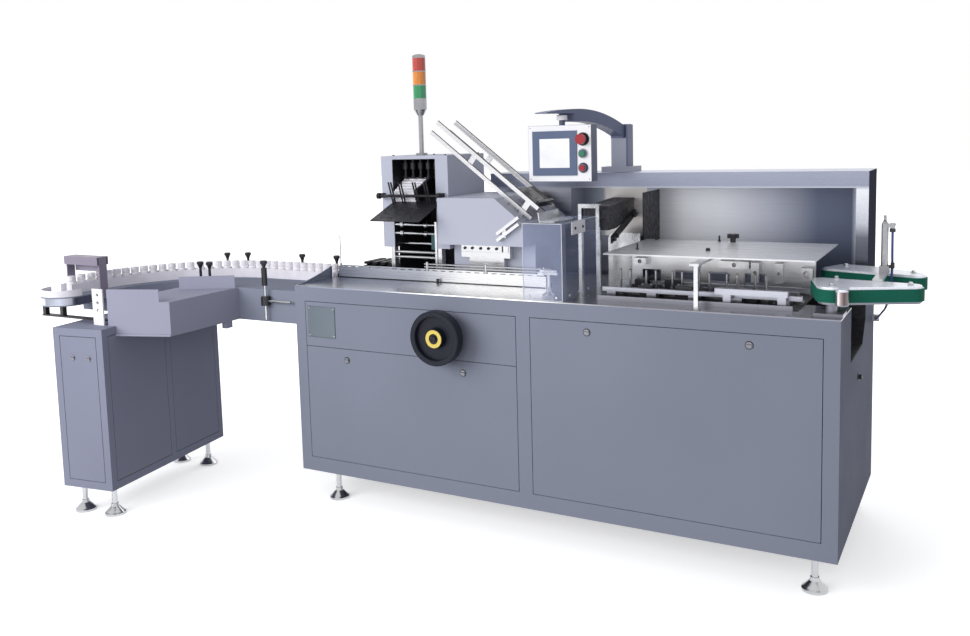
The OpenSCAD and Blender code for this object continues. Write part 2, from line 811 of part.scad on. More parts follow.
module carton_rails() {
  color(steel) {
    for (y = [front_rail_y, front_rail_y + carton_rail_span]) {
      box(line_x, rail_end, y, y + 20, deck_z + 25, deck_z + 40);
      for (x = [line_x + 20 : 150 : rail_end - 50]) box(x, x + 34, y - 10, y + 30, deck_z, deck_z + 26);
    }
    box(line_x, rail_end - 20, apron_y, apron_y + 4, deck_z, deck_z + apron_h);
    for (x = [rail_end - 250, rail_end - 70]) box(x, x + 26, apron_y + 12, apron_y + 40, deck_z, deck_z + 42);
    box(rail_end - 278, rail_end - 38, apron_y + 12, apron_y + 40, deck_z + 41, deck_z + 61);
  }
}

lug_n = floor((rail_end - line_x - 40) / lug_pitch);

// one lug: a flared foot and a round pin with a rounded tip
module lug() {
  rotate_extrude() polygon([[0, 0], [lug_d, 0], [lug_d, 5], [lug_d / 2, 11], [lug_d / 2, lug_h - 17],
    [lug_d / 2 - 2, lug_h - 14], [0, lug_h - 14]]);
}

module carton_lugs() {
  color(dark) {
    box(line_x - 10, rail_end - 10, lug_y - lug_chain_w / 2 + 10, lug_y + lug_chain_w / 2 - 10, deck_z,
      deck_z + 10);
    for (k = [0 : lug_n - 1]) translate([line_x + 16 + k * lug_pitch, lug_y, deck_z]) {
      for (s = [0, 0.5]) translate([(s + 0.02) * lug_pitch, -lug_chain_w / 2, 8])
        cube([0.46 * lug_pitch, lug_chain_w, 6]);
      for (s = [0.1, 0.1 + lug_gap / lug_pitch]) translate([s * lug_pitch + lug_d, 0, 14 - cut]) lug();
    }
  }
}

tuck_y = 420;
tuck_front = tuck_y - 40;

// block on the wall with a round hole through it, from the right end of the line
module tuck_block(x, w, z0, z1, d) {
  difference() {
    box(rail_end - x, rail_end - x + w, tuck_front, tuck_y + 1, deck_z + z0, deck_z + z1);
    if (d > 0) rod_y(rail_end - x + w / 2, deck_z + (z0 + z1) / 2, tuck_front - cut, tuck_y + 2, d);
  }
}

module tuck_wall() {
  color(white) {
    difference() {
      box(line_x + 20, rail_end, tuck_y, tuck_y + 10, deck_z, cover_z);
      for (x = [line_x + 60 : 130 : rail_end - 120])
        box(x, x + 74, tuck_y - cut, tuck_y + 11, deck_z + 24, deck_z + 72);
    }
    tuck_block(216, 28, 45, 117, 12);
    tuck_block(133, 28, 45, 117, 12);
    tuck_block(331, 108, 93, 119, 16);
    tuck_block(rail_end - line_x - 39, 48, 93, 119, 16);
    tuck_block(44, 40, 60, 104, 26);
  }
}

module cover_plate() {
  color(steel) box(cover_x, cover_x + cover_l, cover_y, cover_y + cover_d, cover_z, cover_z + cover_t);
}

module star_knob(d) {
  cylinder(h = 18, d = 0.6 * d);
  translate([0, 0, 16]) linear_extrude(16) {
    circle(d = d);
    for (a = [0 : 72 : 288]) rotate(a) translate([0.45 * d, 0]) circle(d = 0.46 * d);
  }
}

module cover_knob() {
  color(dark) translate([cover_x, cover_y, cover_z + cover_t]) {
    translate([0.485 * cover_l, 0.93 * cover_d, 0]) star_knob(34);
    translate([0.46 * cover_l, 0.336 * cover_d, 0])
      rotate_extrude() polygon([[0, 0], [8, 0], [8, 8], [6, 11], [0, 11]]);
    for (p = [[0.41, 0.95], [0.11, 0.288], [0.064, 0.95]]) translate([p[0] * cover_l, p[1] * cover_d, 0])
      rotate_extrude() polygon([[0, 0], [6, 0], [6, 4], [3.5, 6], [3.5, 22], [2, 24], [0, 24]]);
  }
}

module cover_bracket() {
  color(steel) translate([cover_x + 0.505 * cover_l, 0, 0]) {
    box(0, 14, 24, 38, deck_z, cover_z);
    translate([0, 37, deck_z]) rotate([90, 0, 90]) linear_extrude(14)
      polygon([[0, cover_rise - 44], [40, cover_rise - 9], [40, cover_rise], [0, cover_rise]]);
    box(-12, 20, 14, cover_y + 90, cover_z - 8, cover_z);
    translate([7, 31, deck_z]) cylinder(h = 6, d = 26);
  }
}

// outward normal of the straight belt run from circle a to circle b, each x, y, radius
function run_normal(a, b) = let(v = [b[0] - a[0], b[1] - a[1]], d = norm(v), k = (a[2] - b[2]) / d)
  (v * k + [v[1], -v[0]] * sqrt(1 - k * k)) / d;

// points of the arc on circle c between two normals, counterclockwise
function belt_arc(c, m, n) = let(a = atan2(m[1], m[0]), turn = (atan2(n[1], n[0]) - a + 720) % 360)
  [for (j = [0 : arc_steps]) [c[0] + c[2] * cos(a + turn * j / arc_steps),
    c[1] + c[2] * sin(a + turn * j / arc_steps)]];

// outline around pulleys given counterclockwise as x, y, radius, wider by grow
module unit_outline(p, grow) {
  q = [for (c = p) [c[0], c[1], c[2] + grow]];
  n = len(q);
  polygon([for (k = [0 : n - 1])
    each belt_arc(q[k], run_normal(q[(k + n - 1) % n], q[k]), run_normal(q[k], q[(k + 1) % n]))]);
}

arc_steps = 10;
pulley_r = pulley_d / 2;
rear_y = belt_y + belt_span;
front_unit = [[belt_x + 38, belt_y + 70, pulley_r], [belt_x + 88, belt_y - 65, 1.4 * pulley_r],
  [belt_end - 1.15 * pulley_r - belt_t, belt_y + 23, 1.15 * pulley_r]];
rear_unit = [[belt_x + 28, hood_y - 173, pulley_r], [belt_end - 42, rear_y - 4, pulley_r],
  [belt_end - 42, rear_y + 38, 0.7 * pulley_r], [belt_x + 158, hood_y - 120, 0.8 * pulley_r],
  [belt_x + 63, hood_y - 93, 0.9 * pulley_r]];
units = [front_unit, rear_unit];

module outfeed_units() {
  color(steel) for (p = units) translate([0, 0, belt_z]) {
    linear_extrude(belt_h) unit_outline(p, 0);
    translate([0, 0, belt_h]) linear_extrude(unit_plate_t) unit_outline(p, -4);
    translate([0, 0, -unit_plate_t]) linear_extrude(unit_plate_t) unit_outline(p, -4);
  }
  color(steel) {
    post(front_unit[1][0], front_unit[1][1], deck_z + 9, belt_z - unit_plate_t + 1, 34);
    post(idler_x, idler_y, belt_z - 2, belt_z + belt_h + 1, idler_d);
    post(idler_x, idler_y, belt_z + belt_h, bridge_z, 30);
    box(idler_x - 15, idler_x + 15, idler_y, front_unit[1][1] + 10, belt_z + belt_h, bridge_z);
    box(front_unit[1][0] - 50, min(front_unit[1][0] + 50, cab_l), front_unit[1][1] - 40,
      front_unit[1][1] + 40, deck_z,
      deck_z + 10);
  }
}

module outfeed_belts() {
  color([0.1, 0.5, 0.3]) for (p = units) translate([0, 0, belt_z + 2]) linear_extrude(belt_h - 4)
    difference() {
    unit_outline(p, belt_t);
    unit_outline(p, 0);
  }
}

bridge_z = belt_z + belt_h + unit_plate_t;
idler_d = 38;
idler_x = front_unit[1][0] + 40;
idler_y = front_unit[1][1] - 66;
bridge_t = 10;
stay_y = hood_y - 21;

module outfeed_bridge() {
  color(steel) {
    box(cyl_x - 20, cyl_x + 10, belt_y + 45, rear_y + 27, bridge_z, bridge_z + bridge_t);
    box(rear_unit[4][0] - 15, rear_unit[4][0] + 15, rear_unit[4][1] - 12, stay_y + 12,
      belt_z - unit_plate_t - 6,
      belt_z - unit_plate_t);
    post(rear_unit[4][0], stay_y, deck_z, belt_z - unit_plate_t - 5, 22);
  }
}

cyl_z = bridge_z + bridge_t;
port_y = hood_y + 183;
port_z = cab_top - 142;

module air_cylinder() {
  color(steel) {
    box(cyl_x - cyl_block / 2, cyl_x + cyl_block / 2, cyl_y - cyl_block / 2, cyl_y + cyl_block / 2,
      cyl_z, cyl_z + 24);
    post(cyl_x, cyl_y, cyl_z + 23, cyl_z + cyl_l, cyl_d);
    translate([cyl_x, cyl_y, cyl_z + cyl_l - cut]) cylinder(h = 12, d1 = cyl_d, d2 = 10);
    difference() {
      rod_x(cyl_y, cyl_z + cyl_l + 18, cyl_x - 4, cyl_x + 4, 22);
      rod_x(cyl_y, cyl_z + cyl_l + 18, cyl_x - 5, cyl_x + 5, 11);
    }
    translate([cyl_x + cyl_d / 2 - 3, cyl_y - 6, cyl_z + cyl_l - 13]) cube([23, 16, 14]);
    post(hose_path[0][0], hose_path[0][1], hose_path[0][2], cyl_z + cyl_l - 12, 13);
    box(cab_l, cab_l + 24, port_y, port_y + 26, port_z - 12, port_z + 12);
  }
}

// route of the air hose, from the elbow at the cylinder head down between the belts to the elbow
// at the right end
hose_path = [[2260, 350, 1162], [2260, 350, 1142], [2260, 351, 1120], [2260, 353, 1096], [2260, 356, 1072],
  [2260, 360, 1048], [2259, 365, 1024], [2258, 369, 1002], [2257, 372, 982], [2255, 375, 962], [2252,
    381, 942],
  [2248, 392, 922], [2243, 409, 903], [2237, 432, 886], [2230, 460, 871], [2222, 492, 858], [2214, 527, 845],
  [2206, 564, 832], [2199, 602, 820], [2192, 642, 808], [2186, 682, 797], [2180, 720, 787], [2174, 757, 778],
  [2169, 792, 770], [2165, 822, 766], [2163, 838, 764], [2162, 848, 764]];
hose_sides = 10;
hose_n = len(hose_path);
function unit(v) = v / norm(v);
function hose_dir(k) = k == 0 ? [0, 0, -1] : k == hose_n - 1 ? [0, 1, 0] :
  unit(hose_path[k + 1] - hose_path[k - 1]);
function hose_side(k) = k == 0 ? [0, 1, 0] : let(d = hose_dir(k), p = hose_side(k - 1)) unit(p - d * (p * d));
function hose_ring(k) = let(d = hose_dir(k), s = hose_side(k), t = cross(d, s), w = 360 / hose_sides)
  [for (j = [0 : hose_sides - 1]) hose_path[k] + hose_d / 2 * (cos(j * w) * s + sin(j * w) * t)];

module air_hose() {
  color([0.1, 0.35, 0.8]) polyhedron(
    points = [for (k = [0 : hose_n - 1]) each hose_ring(k)],
    faces = concat([[for (j = [0 : hose_sides - 1]) j]],
      [for (k = [0 : hose_n - 2], j = [0 : hose_sides - 1], u = [0, 1])
        let(a = k * hose_sides, b = a + hose_sides, i = (j + 1) % hose_sides)
        u == 0 ? [a + j, b + j, b + i] : [a + j, b + i, a + i]],
      [[for (j = [hose_sides - 1 : -1 : 0]) (hose_n - 1) * hose_sides + j]]));
}

arm_x = panel_x + 110;
arm_y = hood_y + 140;
column_top = arm_z - 104;
arm_end_h = 58;

module arm_base() {
  color(paint) {
    box(arm_x - 70, arm_x + 70, arm_y - 55, arm_y + 55, hood_top, hood_top + arm_base_t);
    box(arm_x - 33, arm_x + 33, arm_y - 33, arm_y + 33, hood_top + arm_base_t - cut, column_top);
  }
}

arm_run = norm([arm_x - panel_x, arm_y - panel_y]);
arm_turn = atan2(arm_x - panel_x, arm_y - panel_y);

// frame of the arm, y from the panel axis back to the column
module arm_frame() {
  translate([panel_x, panel_y, 0]) rotate([0, 0, -arm_turn]) children();
}

arm_w = 60;
arm_tip = -128;
arm_step = 42;
arm_crest = 75;
arm_flat_r = 1470;
arm_bend_r = 640;
arm_last = arm_run - 32;
arm_n = 36;
crest_z = arm_z + arm_plate_t + arm_crest * arm_crest / (2 * arm_flat_r);
cap_z = arm_z + 9;

// height of the arm's top at a distance from the panel axis
function arm_top(y) = crest_z - pow(y - arm_crest, 2) / (2 * (y < arm_crest ? arm_flat_r : arm_bend_r));

// side of the arm: a thin tip over the panel and a curved bar down to the column
module arm_side() {
  polygon(concat(
    [for (k = [0 : arm_n]) let(y = arm_tip + (arm_last - arm_tip) * k / arm_n) [y, arm_top(y)]],
    [for (k = [0 : arm_n]) let(y = arm_last + (arm_step - arm_last) * k / arm_n) [y, arm_top(y) - arm_h]],
    [[arm_step, arm_z], [arm_tip, arm_z]]));
  translate([arm_run - 33, column_top]) square([66, arm_end_h]);
}

module panel_arm() {
  color([0.3, 0.36, 0.42]) {
    difference() {
      arm_frame() translate([-arm_w / 2, 0, 0]) rotate([90, 0, 90]) linear_extrude(arm_w) arm_side();
      post(panel_x, panel_y, arm_z - cut, arm_z + 60, stub_d + 2 * slip_gap);
      post(panel_x, panel_y, cap_z - slip_gap, arm_z + 60, stub_d + 22);
    }
    box(arm_x + 33, arm_x + 41, arm_y - 33, arm_y + 33, hood_top + arm_base_t, column_top + arm_end_h - 2);
  }
}

panel_front = panel_y - panel_d / 2;
button_x = panel_x + panel_w / 2 - 34;
button_zs = [panel_top - 56, panel_top - 112, panel_top - 168];
ring_h = 12;

// frame of one button place: z comes out of the panel front
module button_frame(k) {
  translate([button_x, panel_front, button_zs[k]]) rotate([90, 0, 0]) children();
}

module panel_box() {
  color(paint) {
    box(panel_x - panel_w / 2, panel_x + panel_w / 2, panel_front, panel_front + panel_d, panel_z, panel_top);
    post(panel_x, panel_y, panel_top - cut, cap_z + 4, stub_d);
    post(panel_x, panel_y, arm_z - 26, arm_z - clear, stub_d + 16);
    post(panel_x, panel_y, cap_z, cap_z + 4, stub_d + 16);
    for (k = [0, 1, 2]) button_frame(k) difference() {
      translate([0, 0, -cut]) cylinder(h = ring_h + cut, d = button_d + 10);
      cylinder(h = ring_h + cut, d = button_d + 2 * slip_gap);
    }
  }
}

bezel_x0 = panel_x - panel_w / 2 + 20;
bezel_x1 = panel_x + panel_w / 2 - 60;
bezel_z0 = panel_z + 24;
bezel_z1 = panel_top - 22;
bezel_w = 30;

module panel_screen() {
  color([0.25, 0.32, 0.4]) difference() {
    box(bezel_x0, bezel_x1, panel_front - 6, panel_front, bezel_z0, bezel_z1);
    box(bezel_x0 + bezel_w, bezel_x1 - bezel_w, panel_front - 6 - cut, panel_front - 3, bezel_z0 + bezel_w,
      bezel_z1 - bezel_w);
  }
}

module panel_display() {
  color(white) box(bezel_x0 + bezel_w + 0.5, bezel_x1 - bezel_w - 0.5, panel_front - 5, panel_front - 3,
    bezel_z0 + bezel_w + 0.5, bezel_z1 - bezel_w - 0.5);
}

module press_button() {
  translate([0, 0, button_travel + 1]) cylinder(h = ring_h + 4 - button_travel, d = button_d);
}

module estop_button() {
  color([0.8, 0.1, 0.1]) button_frame(0) {
    translate([0, 0, button_travel + 1]) cylinder(h = ring_h + clear, d = button_d);
    translate([0, 0, ring_h + clear + button_travel]) cylinder(h = 14, d = button_d + 18);
  }
}

module start_button() {
  color([0.1, 0.6, 0.3]) button_frame(1) press_button();
}

module stop_button() {
  color([0.8, 0.1, 0.1]) button_frame(2) press_button();
}

tower_x = leaf_x + 0.46 * leaf_l;
tower_y = leaf_y + 90;
lamp_z = leaf_top + pole_h + 72;
lamp_ring = 4;

module signal_pole() {
  color([0.7, 0.7, 0.72]) {
    post(tower_x, tower_y, leaf_top, leaf_top + 10, 50);
    post(tower_x, tower_y, leaf_top + 9, leaf_top + pole_h + 1, pole_d);
    translate([tower_x, tower_y, leaf_top + pole_h]) cylinder(h = 26, d1 = pole_d + 8, d2 = lamp_d);
    post(tower_x, tower_y, leaf_top + pole_h + 25, lamp_z, lamp_d);
    for (k = [1, 2]) post(tower_x, tower_y, lamp_z + k * lamp_h - lamp_ring, lamp_z + k * lamp_h, lamp_d + 2);
    translate([tower_x, tower_y, lamp_z + 3 * lamp_h - lamp_ring]) rotate_extrude() intersection() {
      translate([0, 18 - lamp_d]) circle(r = lamp_d);
      square([lamp_d / 2, 18]);
    }
  }
}

module lamp(k) {
  post(tower_x, tower_y, lamp_z + k * lamp_h, lamp_z + (k + 1) * lamp_h - lamp_ring, lamp_d);
}

module signal_green() {
  color([0.1, 0.6, 0.2]) lamp(0);
}

module signal_amber() {
  color([0.95, 0.6, 0.1]) lamp(1);
}

module signal_red() {
  color([0.85, 0.1, 0.1]) lamp(2);
}

inf_panel_t = 12;
inf_edge = 32;

module infeed_block() {
  infeed_frame() box(-inf_w, 0, 0, inf_d, foot_h, inf_top);
}

// pockets of the infeed cabinet, smaller by shrink on each side
module infeed_infill(shrink, over) {
  infeed_frame() {
    box(-inf_w + inf_edge + shrink, -inf_edge - shrink, -over, inf_panel_t, foot_h + inf_edge + shrink,
      inf_top - inf_edge - shrink);
    box(-inf_panel_t, over, inf_edge + shrink, 0.5 * inf_d - shrink, foot_h + inf_edge + shrink,
      inf_top - inf_edge - shrink);
    box(-inf_panel_t, over, 0.5 * inf_d + inf_edge + shrink, inf_d - inf_edge - shrink,
      foot_h + inf_edge + shrink, inf_top - inf_edge - shrink);
  }
}

module infeed_cabinet() {
  color(paint) difference() {
    infeed_block();
    infeed_infill(0, cut);
  }
}

module infeed_panels() {
  color(paint) infeed_infill(panel_gap, 0);
}

// quarter ring of the infeed bend between two radii
module bend_ring(r0, r1, z0, z1) {
  translate([-run_l, bend_y, z0]) rotate([0, 0, 90]) rotate_extrude(angle = 90)
    translate([r0, 0]) square([r1 - r0, z1 - z0]);
}

module infeed_beam() {
  color(paint) {
    box(-run_l, 0, 5, conv_y + conv_w / 2, conv_z - beam_h, conv_z);
    box(tray_front[1][0], -run_l + cut, 5, conv_y - conv_w / 2, conv_z - beam_h, conv_z);
    bend_ring(bend_r - conv_w / 2, bend_r + conv_w / 2, inf_top, conv_z);
    box(leg_x - conv_w / 2, leg_x + conv_w / 2, loop_y, bend_y + cut, conv_z - belt_drum_h, conv_z);
    post(leg_x, loop_y, conv_z - belt_drum_h, conv_z, conv_w);
  }
}

tray_turn = atan2(tray_front[0][1] - tray_front[1][1], tray_front[0][0] - tray_front[1][0]);
tray_edge = norm(tray_front[0] - tray_front[1]);
tray_wall = 52;

// closed sheet-metal table beside the conveyor, with two upright plates on it
module infeed_tray() {
  color(paint) difference() {
    union() {
      translate([0, 0, conv_z - beam_h]) linear_extrude(beam_h)
        polygon([[tray_x, 5], tray_front[0], tray_front[1], [tray_front[1][0], 5]]);
      translate([tray_front[1][0], tray_front[1][1], conv_z - beam_h]) rotate([0, 0, tray_turn])
        translate([0, -6, 0]) cube([tray_edge, 6 + cut, 9]);
      translate([tray_front[1][0], tray_front[1][1], conv_z - cut]) rotate([0, 0, tray_turn])
        cube([0.84 * tray_edge, 4, tray_wall]);
      translate([tray_x - 6, -6, conv_z - cut]) rotate([0, 0, 210]) cube([240, 4, tray_wall + 4]);
      box(tray_x - 26, tray_x, -76, -40, conv_z - beam_h - 28, conv_z - beam_h + cut);
    }
    infeed_block();
  }
}

slat_n = floor(run_l / slat_pitch);
bend_n = floor(bend_r * PI / 2 / slat_pitch);
leg_n = floor(leg_l / slat_pitch);

module infeed_chain() {
  color(white) {
    box(-run_l, 0, conv_y - slat_w / 2 + 8, conv_y + slat_w / 2 - 8, conv_z, conv_z + chain_h - 5);
    bend_ring(bend_r - slat_w / 2 + 8, bend_r + slat_w / 2 - 8, conv_z, conv_z + chain_h - 5);
    box(leg_x - slat_w / 2 + 8, leg_x + slat_w / 2 - 8, loop_y, bend_y, conv_z, conv_z + chain_h - 5);
    post(leg_x, loop_y, conv_z, conv_z + chain_h, slat_w);
    for (k = [0 : slat_n - 1]) translate([-(k + 0.97) * run_l / slat_n, conv_y - slat_w / 2,
      conv_z + chain_h - 6])
      cube([0.94 * run_l / slat_n, slat_w, 6]);
    for (k = [0 : bend_n - 1]) translate([-run_l, bend_y, conv_z + chain_h - 6])
      rotate([0, 0, 90 + (k + 0.03) * 90 / bend_n]) rotate_extrude(angle = 0.94 * 90 / bend_n)
        translate([bend_r - slat_w / 2, 0]) square([slat_w, 6]);
    for (k = [0 : leg_n - 1]) translate([leg_x - slat_w / 2, bend_y - (k + 0.97) * leg_l / leg_n,
      conv_z + chain_h - 6])
      cube([slat_w, 0.94 * leg_l / leg_n, 6]);
  }
}

module infeed_rails() {
  color(white) {
    for (s = [-1, 1]) {
      lane = s * (lane_half + guide_t / 2);
      box(-run_l, -clear, conv_y + lane - guide_t / 2, conv_y + lane + guide_t / 2, conv_z, conv_z + guide_h);
      bend_ring(bend_r + lane - guide_t / 2, bend_r + lane + guide_t / 2, conv_z, conv_z + guide_h);
      box(leg_x - lane - guide_t / 2, leg_x - lane + guide_t / 2, loop_y, bend_y, conv_z, conv_z + guide_h);
    }
    translate([leg_x, loop_y, conv_z]) rotate([0, 0, 180]) rotate_extrude(angle = 180)
      translate([conv_w / 2 - guide_t, 0]) square([guide_t, guide_h - 14]);
  }
}

lane_out = lane_half + guide_t;

// mushroom knob on a stem, its top at height h
module clamp_knob(h) {
  rotate_extrude() polygon([[0, 0], [6, 0], [6, h - 30], [11, h - 16], [15, h - 12], [15, h - 4], [12,
    h], [0, h]]);
}

module rail_clamp() {
  translate([-12, 0, 0]) cube([24, 24, 58]);
  translate([0, 12, 57]) clamp_knob(50);
}

hook_y = -455;
hook_z = inf_top + 15;

module infeed_clamps() {
  color(dark) {
    for (x = [-243, -46]) translate([x, conv_y + lane_out, conv_z]) rail_clamp();
    for (a = [16, 26]) translate([-run_l, bend_y, conv_z]) rotate([0, 0, a])
      translate([0, bend_r + lane_out, 0]) rail_clamp();
    for (x = [-560, -505]) translate([x, 30, conv_z]) clamp_knob(102);
    translate([clamp_x, clamp_y, clamp_z - clamp_r]) cylinder(h = 2 * clamp_r, r = clamp_r);
    box(clamp_x - 12, clamp_x + 12, clamp_y, 5, clamp_z - clamp_r, clamp_z + clamp_r);
    box(clamp_x, clamp_x + clamp_r, clamp_y - 8, clamp_y + 8, clamp_z - 8, clamp_z + 8);
    translate([clamp_x, clamp_y, conv_z + 20]) cylinder(h = 76, d = 24);
    translate([clamp_x, clamp_y, conv_z + 95]) clamp_knob(32);
    for (x = [-55, 55]) box(leg_x + x - 9, leg_x + x + 9, hook_y - 10, hook_y + 10, hook_z,
      conv_z - belt_drum_h);
    box(leg_x - 64, bracket_x + bracket_w, hook_y - 15, hook_y + 15, hook_z, hook_z + 6);
  }
}

bracket_x = -665;
bracket_w = 60;

bridge_y = -310;
bridge_d = 60;
bridge_top = conv_z + 151;
bridge_x0 = leg_x - conv_w / 2 - bridge_sheet_t;
bridge_x1 = leg_x + conv_w / 2 + bridge_sheet_t;

// white plate on the infeed cabinet, and the sheet bridge over the leg
module infeed_bracket() {
  color(white) {
    difference() {
      box(bracket_x, bracket_x + bracket_w, hook_y - 21, hook_y - 15, inf_top, conv_z + 50);
      for (z = [60, 92, 124])
        rod_y(bracket_x + bracket_w / 2, inf_top + z, hook_y - 22, hook_y - 14, 14);
    }
    box(bridge_x0, bridge_x1, bridge_y, bridge_y + bridge_d, bridge_top - 4, bridge_top);
    for (y = [bridge_y, bridge_y + bridge_d - 4]) box(bridge_x0, bridge_x1, y, y + 4, bridge_top - 36,
      bridge_top);
    for (x = [bridge_x0, bridge_x1 - bridge_sheet_t])
      box(x, x + bridge_sheet_t, bridge_y + 10, bridge_y + bridge_d - 10, conv_z - belt_drum_h + 8,
        bridge_top - 3);
  }
}

bottle_n = floor(run_l / bottle_pitch);
bottle_bend_n = floor(bend_r * PI / 2 / bottle_pitch);
bottle_leg_n = floor(leg_l / bottle_pitch);
bottle_z = conv_z + chain_h;

module bottle() {
  rotate_extrude() polygon([[0, 0], [bottle_d / 2 - 2, 0], [bottle_d / 2, 2], [bottle_d / 2, 0.56 * bottle_h],
    [bottle_d / 2 - 2, 0.62 * bottle_h], [0.34 * bottle_d, 0.7 * bottle_h], [0.34 * bottle_d,
      0.73 * bottle_h],
    [0.4 * bottle_d, 0.73 * bottle_h], [0.4 * bottle_d, bottle_h - 1.5], [0.4 * bottle_d - 1.5,
      bottle_h], [0, bottle_h]]);
}

module bottles() {
  color(white) {
    for (k = [0 : bottle_n - 1]) translate([-(k + 0.5) * run_l / bottle_n, conv_y, bottle_z]) bottle();
    for (k = [0 : bottle_bend_n - 1]) translate([-run_l, bend_y, bottle_z])
      rotate([0, 0, 90 + (k + 0.5) * 90 / bottle_bend_n]) translate([bend_r, 0, 0]) bottle();
    for (k = [0 : bottle_leg_n - 1]) translate([leg_x, bend_y - (k + 0.5) * leg_l / bottle_leg_n,
      bottle_z]) bottle();
  }
}

place() cabinet();
place() front_panels();
place() rear_panels();
place() panel_locks();
place() levelling_feet();
place() worktop();
place() product_ledge();
place() product_chain();
place() guide_rods();
place() hood_frame();
place() hood_back();
place() handwheel_boss();
place() handwheel();
place() handwheel_ring();
place() leaflet_housing();
place() leaflet_stand();
place() leaflet_tray();
place() leaflet_fingers();
place() leaflet_shafts();
place() leaflet_stack();
place() centre_housing();
place() centre_cover();
place() cam_block();
place() magazine_rails();
place() magazine_gate();
place() clear_guard();
place() guard_fittings();
place() pickup_cover();
place() carton_rails();
place() carton_lugs();
place() tuck_wall();
place() cover_plate();
place() cover_knob();
place() cover_bracket();
place() outfeed_units();
place() outfeed_belts();
place() outfeed_bridge();
place() air_cylinder();
place() air_hose();
place() arm_base();
place() panel_arm();
place() panel_box();
place() panel_screen();
place() panel_display();
place() estop_button();
place() start_button();
place() stop_button();
place() signal_pole();
place() signal_red();
place() signal_amber();
place() signal_green();
place() infeed_cabinet();
place() infeed_panels();
place() infeed_beam();
place() infeed_tray();
place() infeed_chain();
place() infeed_rails();
place() infeed_clamps();
place() infeed_bracket();
place() bottles();
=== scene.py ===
import math
import bpy
import bmesh
from mathutils import Matrix, Vector


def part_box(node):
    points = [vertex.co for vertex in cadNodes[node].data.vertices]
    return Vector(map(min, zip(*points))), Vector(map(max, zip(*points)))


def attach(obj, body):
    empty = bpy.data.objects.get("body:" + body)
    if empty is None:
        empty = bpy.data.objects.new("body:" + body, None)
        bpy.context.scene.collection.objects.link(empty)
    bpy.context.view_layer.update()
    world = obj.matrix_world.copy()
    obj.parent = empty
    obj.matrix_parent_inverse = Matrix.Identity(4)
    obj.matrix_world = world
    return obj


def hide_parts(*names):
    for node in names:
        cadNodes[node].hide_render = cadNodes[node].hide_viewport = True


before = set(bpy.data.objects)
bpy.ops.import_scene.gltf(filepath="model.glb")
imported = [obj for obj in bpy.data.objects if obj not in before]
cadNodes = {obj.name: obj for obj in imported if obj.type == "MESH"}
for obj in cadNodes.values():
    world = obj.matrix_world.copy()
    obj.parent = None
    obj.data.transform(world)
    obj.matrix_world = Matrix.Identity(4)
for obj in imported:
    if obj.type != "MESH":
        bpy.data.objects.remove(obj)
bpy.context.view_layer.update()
scene = bpy.context.scene
scene.view_settings.view_transform = "Standard"
cabinetCorner = Vector(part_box("cabinet")[0])  # front left corner of the main cabinet
print("frame loaded with", len(cadNodes), "nodes")


# place on the machine in millimetres: x from its left end, y from its front, z from the floor
def at(x, y, z):
    return Vector((cabinetCorner.x + x / 1000, cabinetCorner.y + y / 1000, z / 1000))


photoCamera = {
    "place": (2561.5, -3080.8, 1503.8),
    "yaw": -29.151,
    "pitch": -6.265,
    "roll": -1.628,
    "lens": 35.30,
    "shiftX": 0.0161,
    "shiftY": -0.0783,
}


def makeCamera(settings):
    yaw, pitch, roll = (math.radians(settings[k]) for k in ("yaw", "pitch", "roll"))
    ahead = Vector((math.sin(yaw) * math.cos(pitch), math.cos(yaw) * math.cos(pitch), math.sin(pitch)))
    right = Vector((math.cos(yaw), -math.sin(yaw), 0))
    up = right.cross(ahead)
    sideways = right * math.cos(roll) + up * math.sin(roll)
    upwards = up * math.cos(roll) - right * math.sin(roll)
    turn = Matrix((sideways, upwards, -ahead)).transposed().to_4x4()
    camera = bpy.data.cameras.new("photoCamera")
    camera.sensor_width = 36
    camera.lens = settings["lens"]
    camera.shift_x = settings["shiftX"]
    camera.shift_y = settings["shiftY"]
    holder = bpy.data.objects.new("photoCamera", camera)
    holder.matrix_world = Matrix.Translation(at(*settings["place"])) @ turn
    scene.collection.objects.link(holder)
    scene.camera = holder


# a lamp has its name, power, size, place and target, and whether metal mirrors it
studio = {
    "lamps": [("keyLamp", 235, 4.5, (-2.6, -4.8, 2.7), (0, 0, 0.8), False),
              ("fillLamp", 50, 2.5, (1.2, -4.8, 1.9), (-0.6, 0, 0.7), False),
              ("rimLamp", 26, 3.0, (0.4, 4.2, 3.6), (0, 0, 1), True),
              ("backLamp", 120, 3.5, (-0.8, 5.4, 2.0), (0, 0, 0.7), False)],
    "ambient": 0.47,
    "ambientColor": (0.96, 0.97, 1),
    "floorColor": (0.88, 0.88, 0.885),
    "floorDim": (0.42, 0.42, 0.43),
    "floorGlow": 0.50,
    "floorGlowFar": 1.0,
    "floorGlowReach": (2.2, 5.5),
    "floorSize": 60,
}


def addLamp(name, power, size, place, target, mirrored):
    lamp = bpy.data.lights.new(name, "AREA")
    lamp.energy = power
    lamp.shape = "RECTANGLE"
    lamp.size = size
    lamp.size_y = size * 0.7
    holder = bpy.data.objects.new(name, lamp)
    facing = (Vector(target) - Vector(place)).to_track_quat("-Z", "Y").to_matrix().to_4x4()
    holder.matrix_world = Matrix.Translation(Vector(place)) @ facing
    holder.visible_glossy = mirrored
    scene.collection.objects.link(holder)


# one for rays that see a thing straight, mirrored or through clear sheet, and nought for the rest
def addSeen(tree):
    path = tree.nodes.new("ShaderNodeLightPath")
    seen = path.outputs["Is Camera Ray"]
    for ray in ("Is Glossy Ray", "Is Transmission Ray"):
        either = tree.nodes.new("ShaderNodeMath")
        either.operation = "MAXIMUM"
        tree.links.new(seen, either.inputs[0])
        tree.links.new(path.outputs[ray], either.inputs[1])
        seen = either.outputs[0]
    return seen


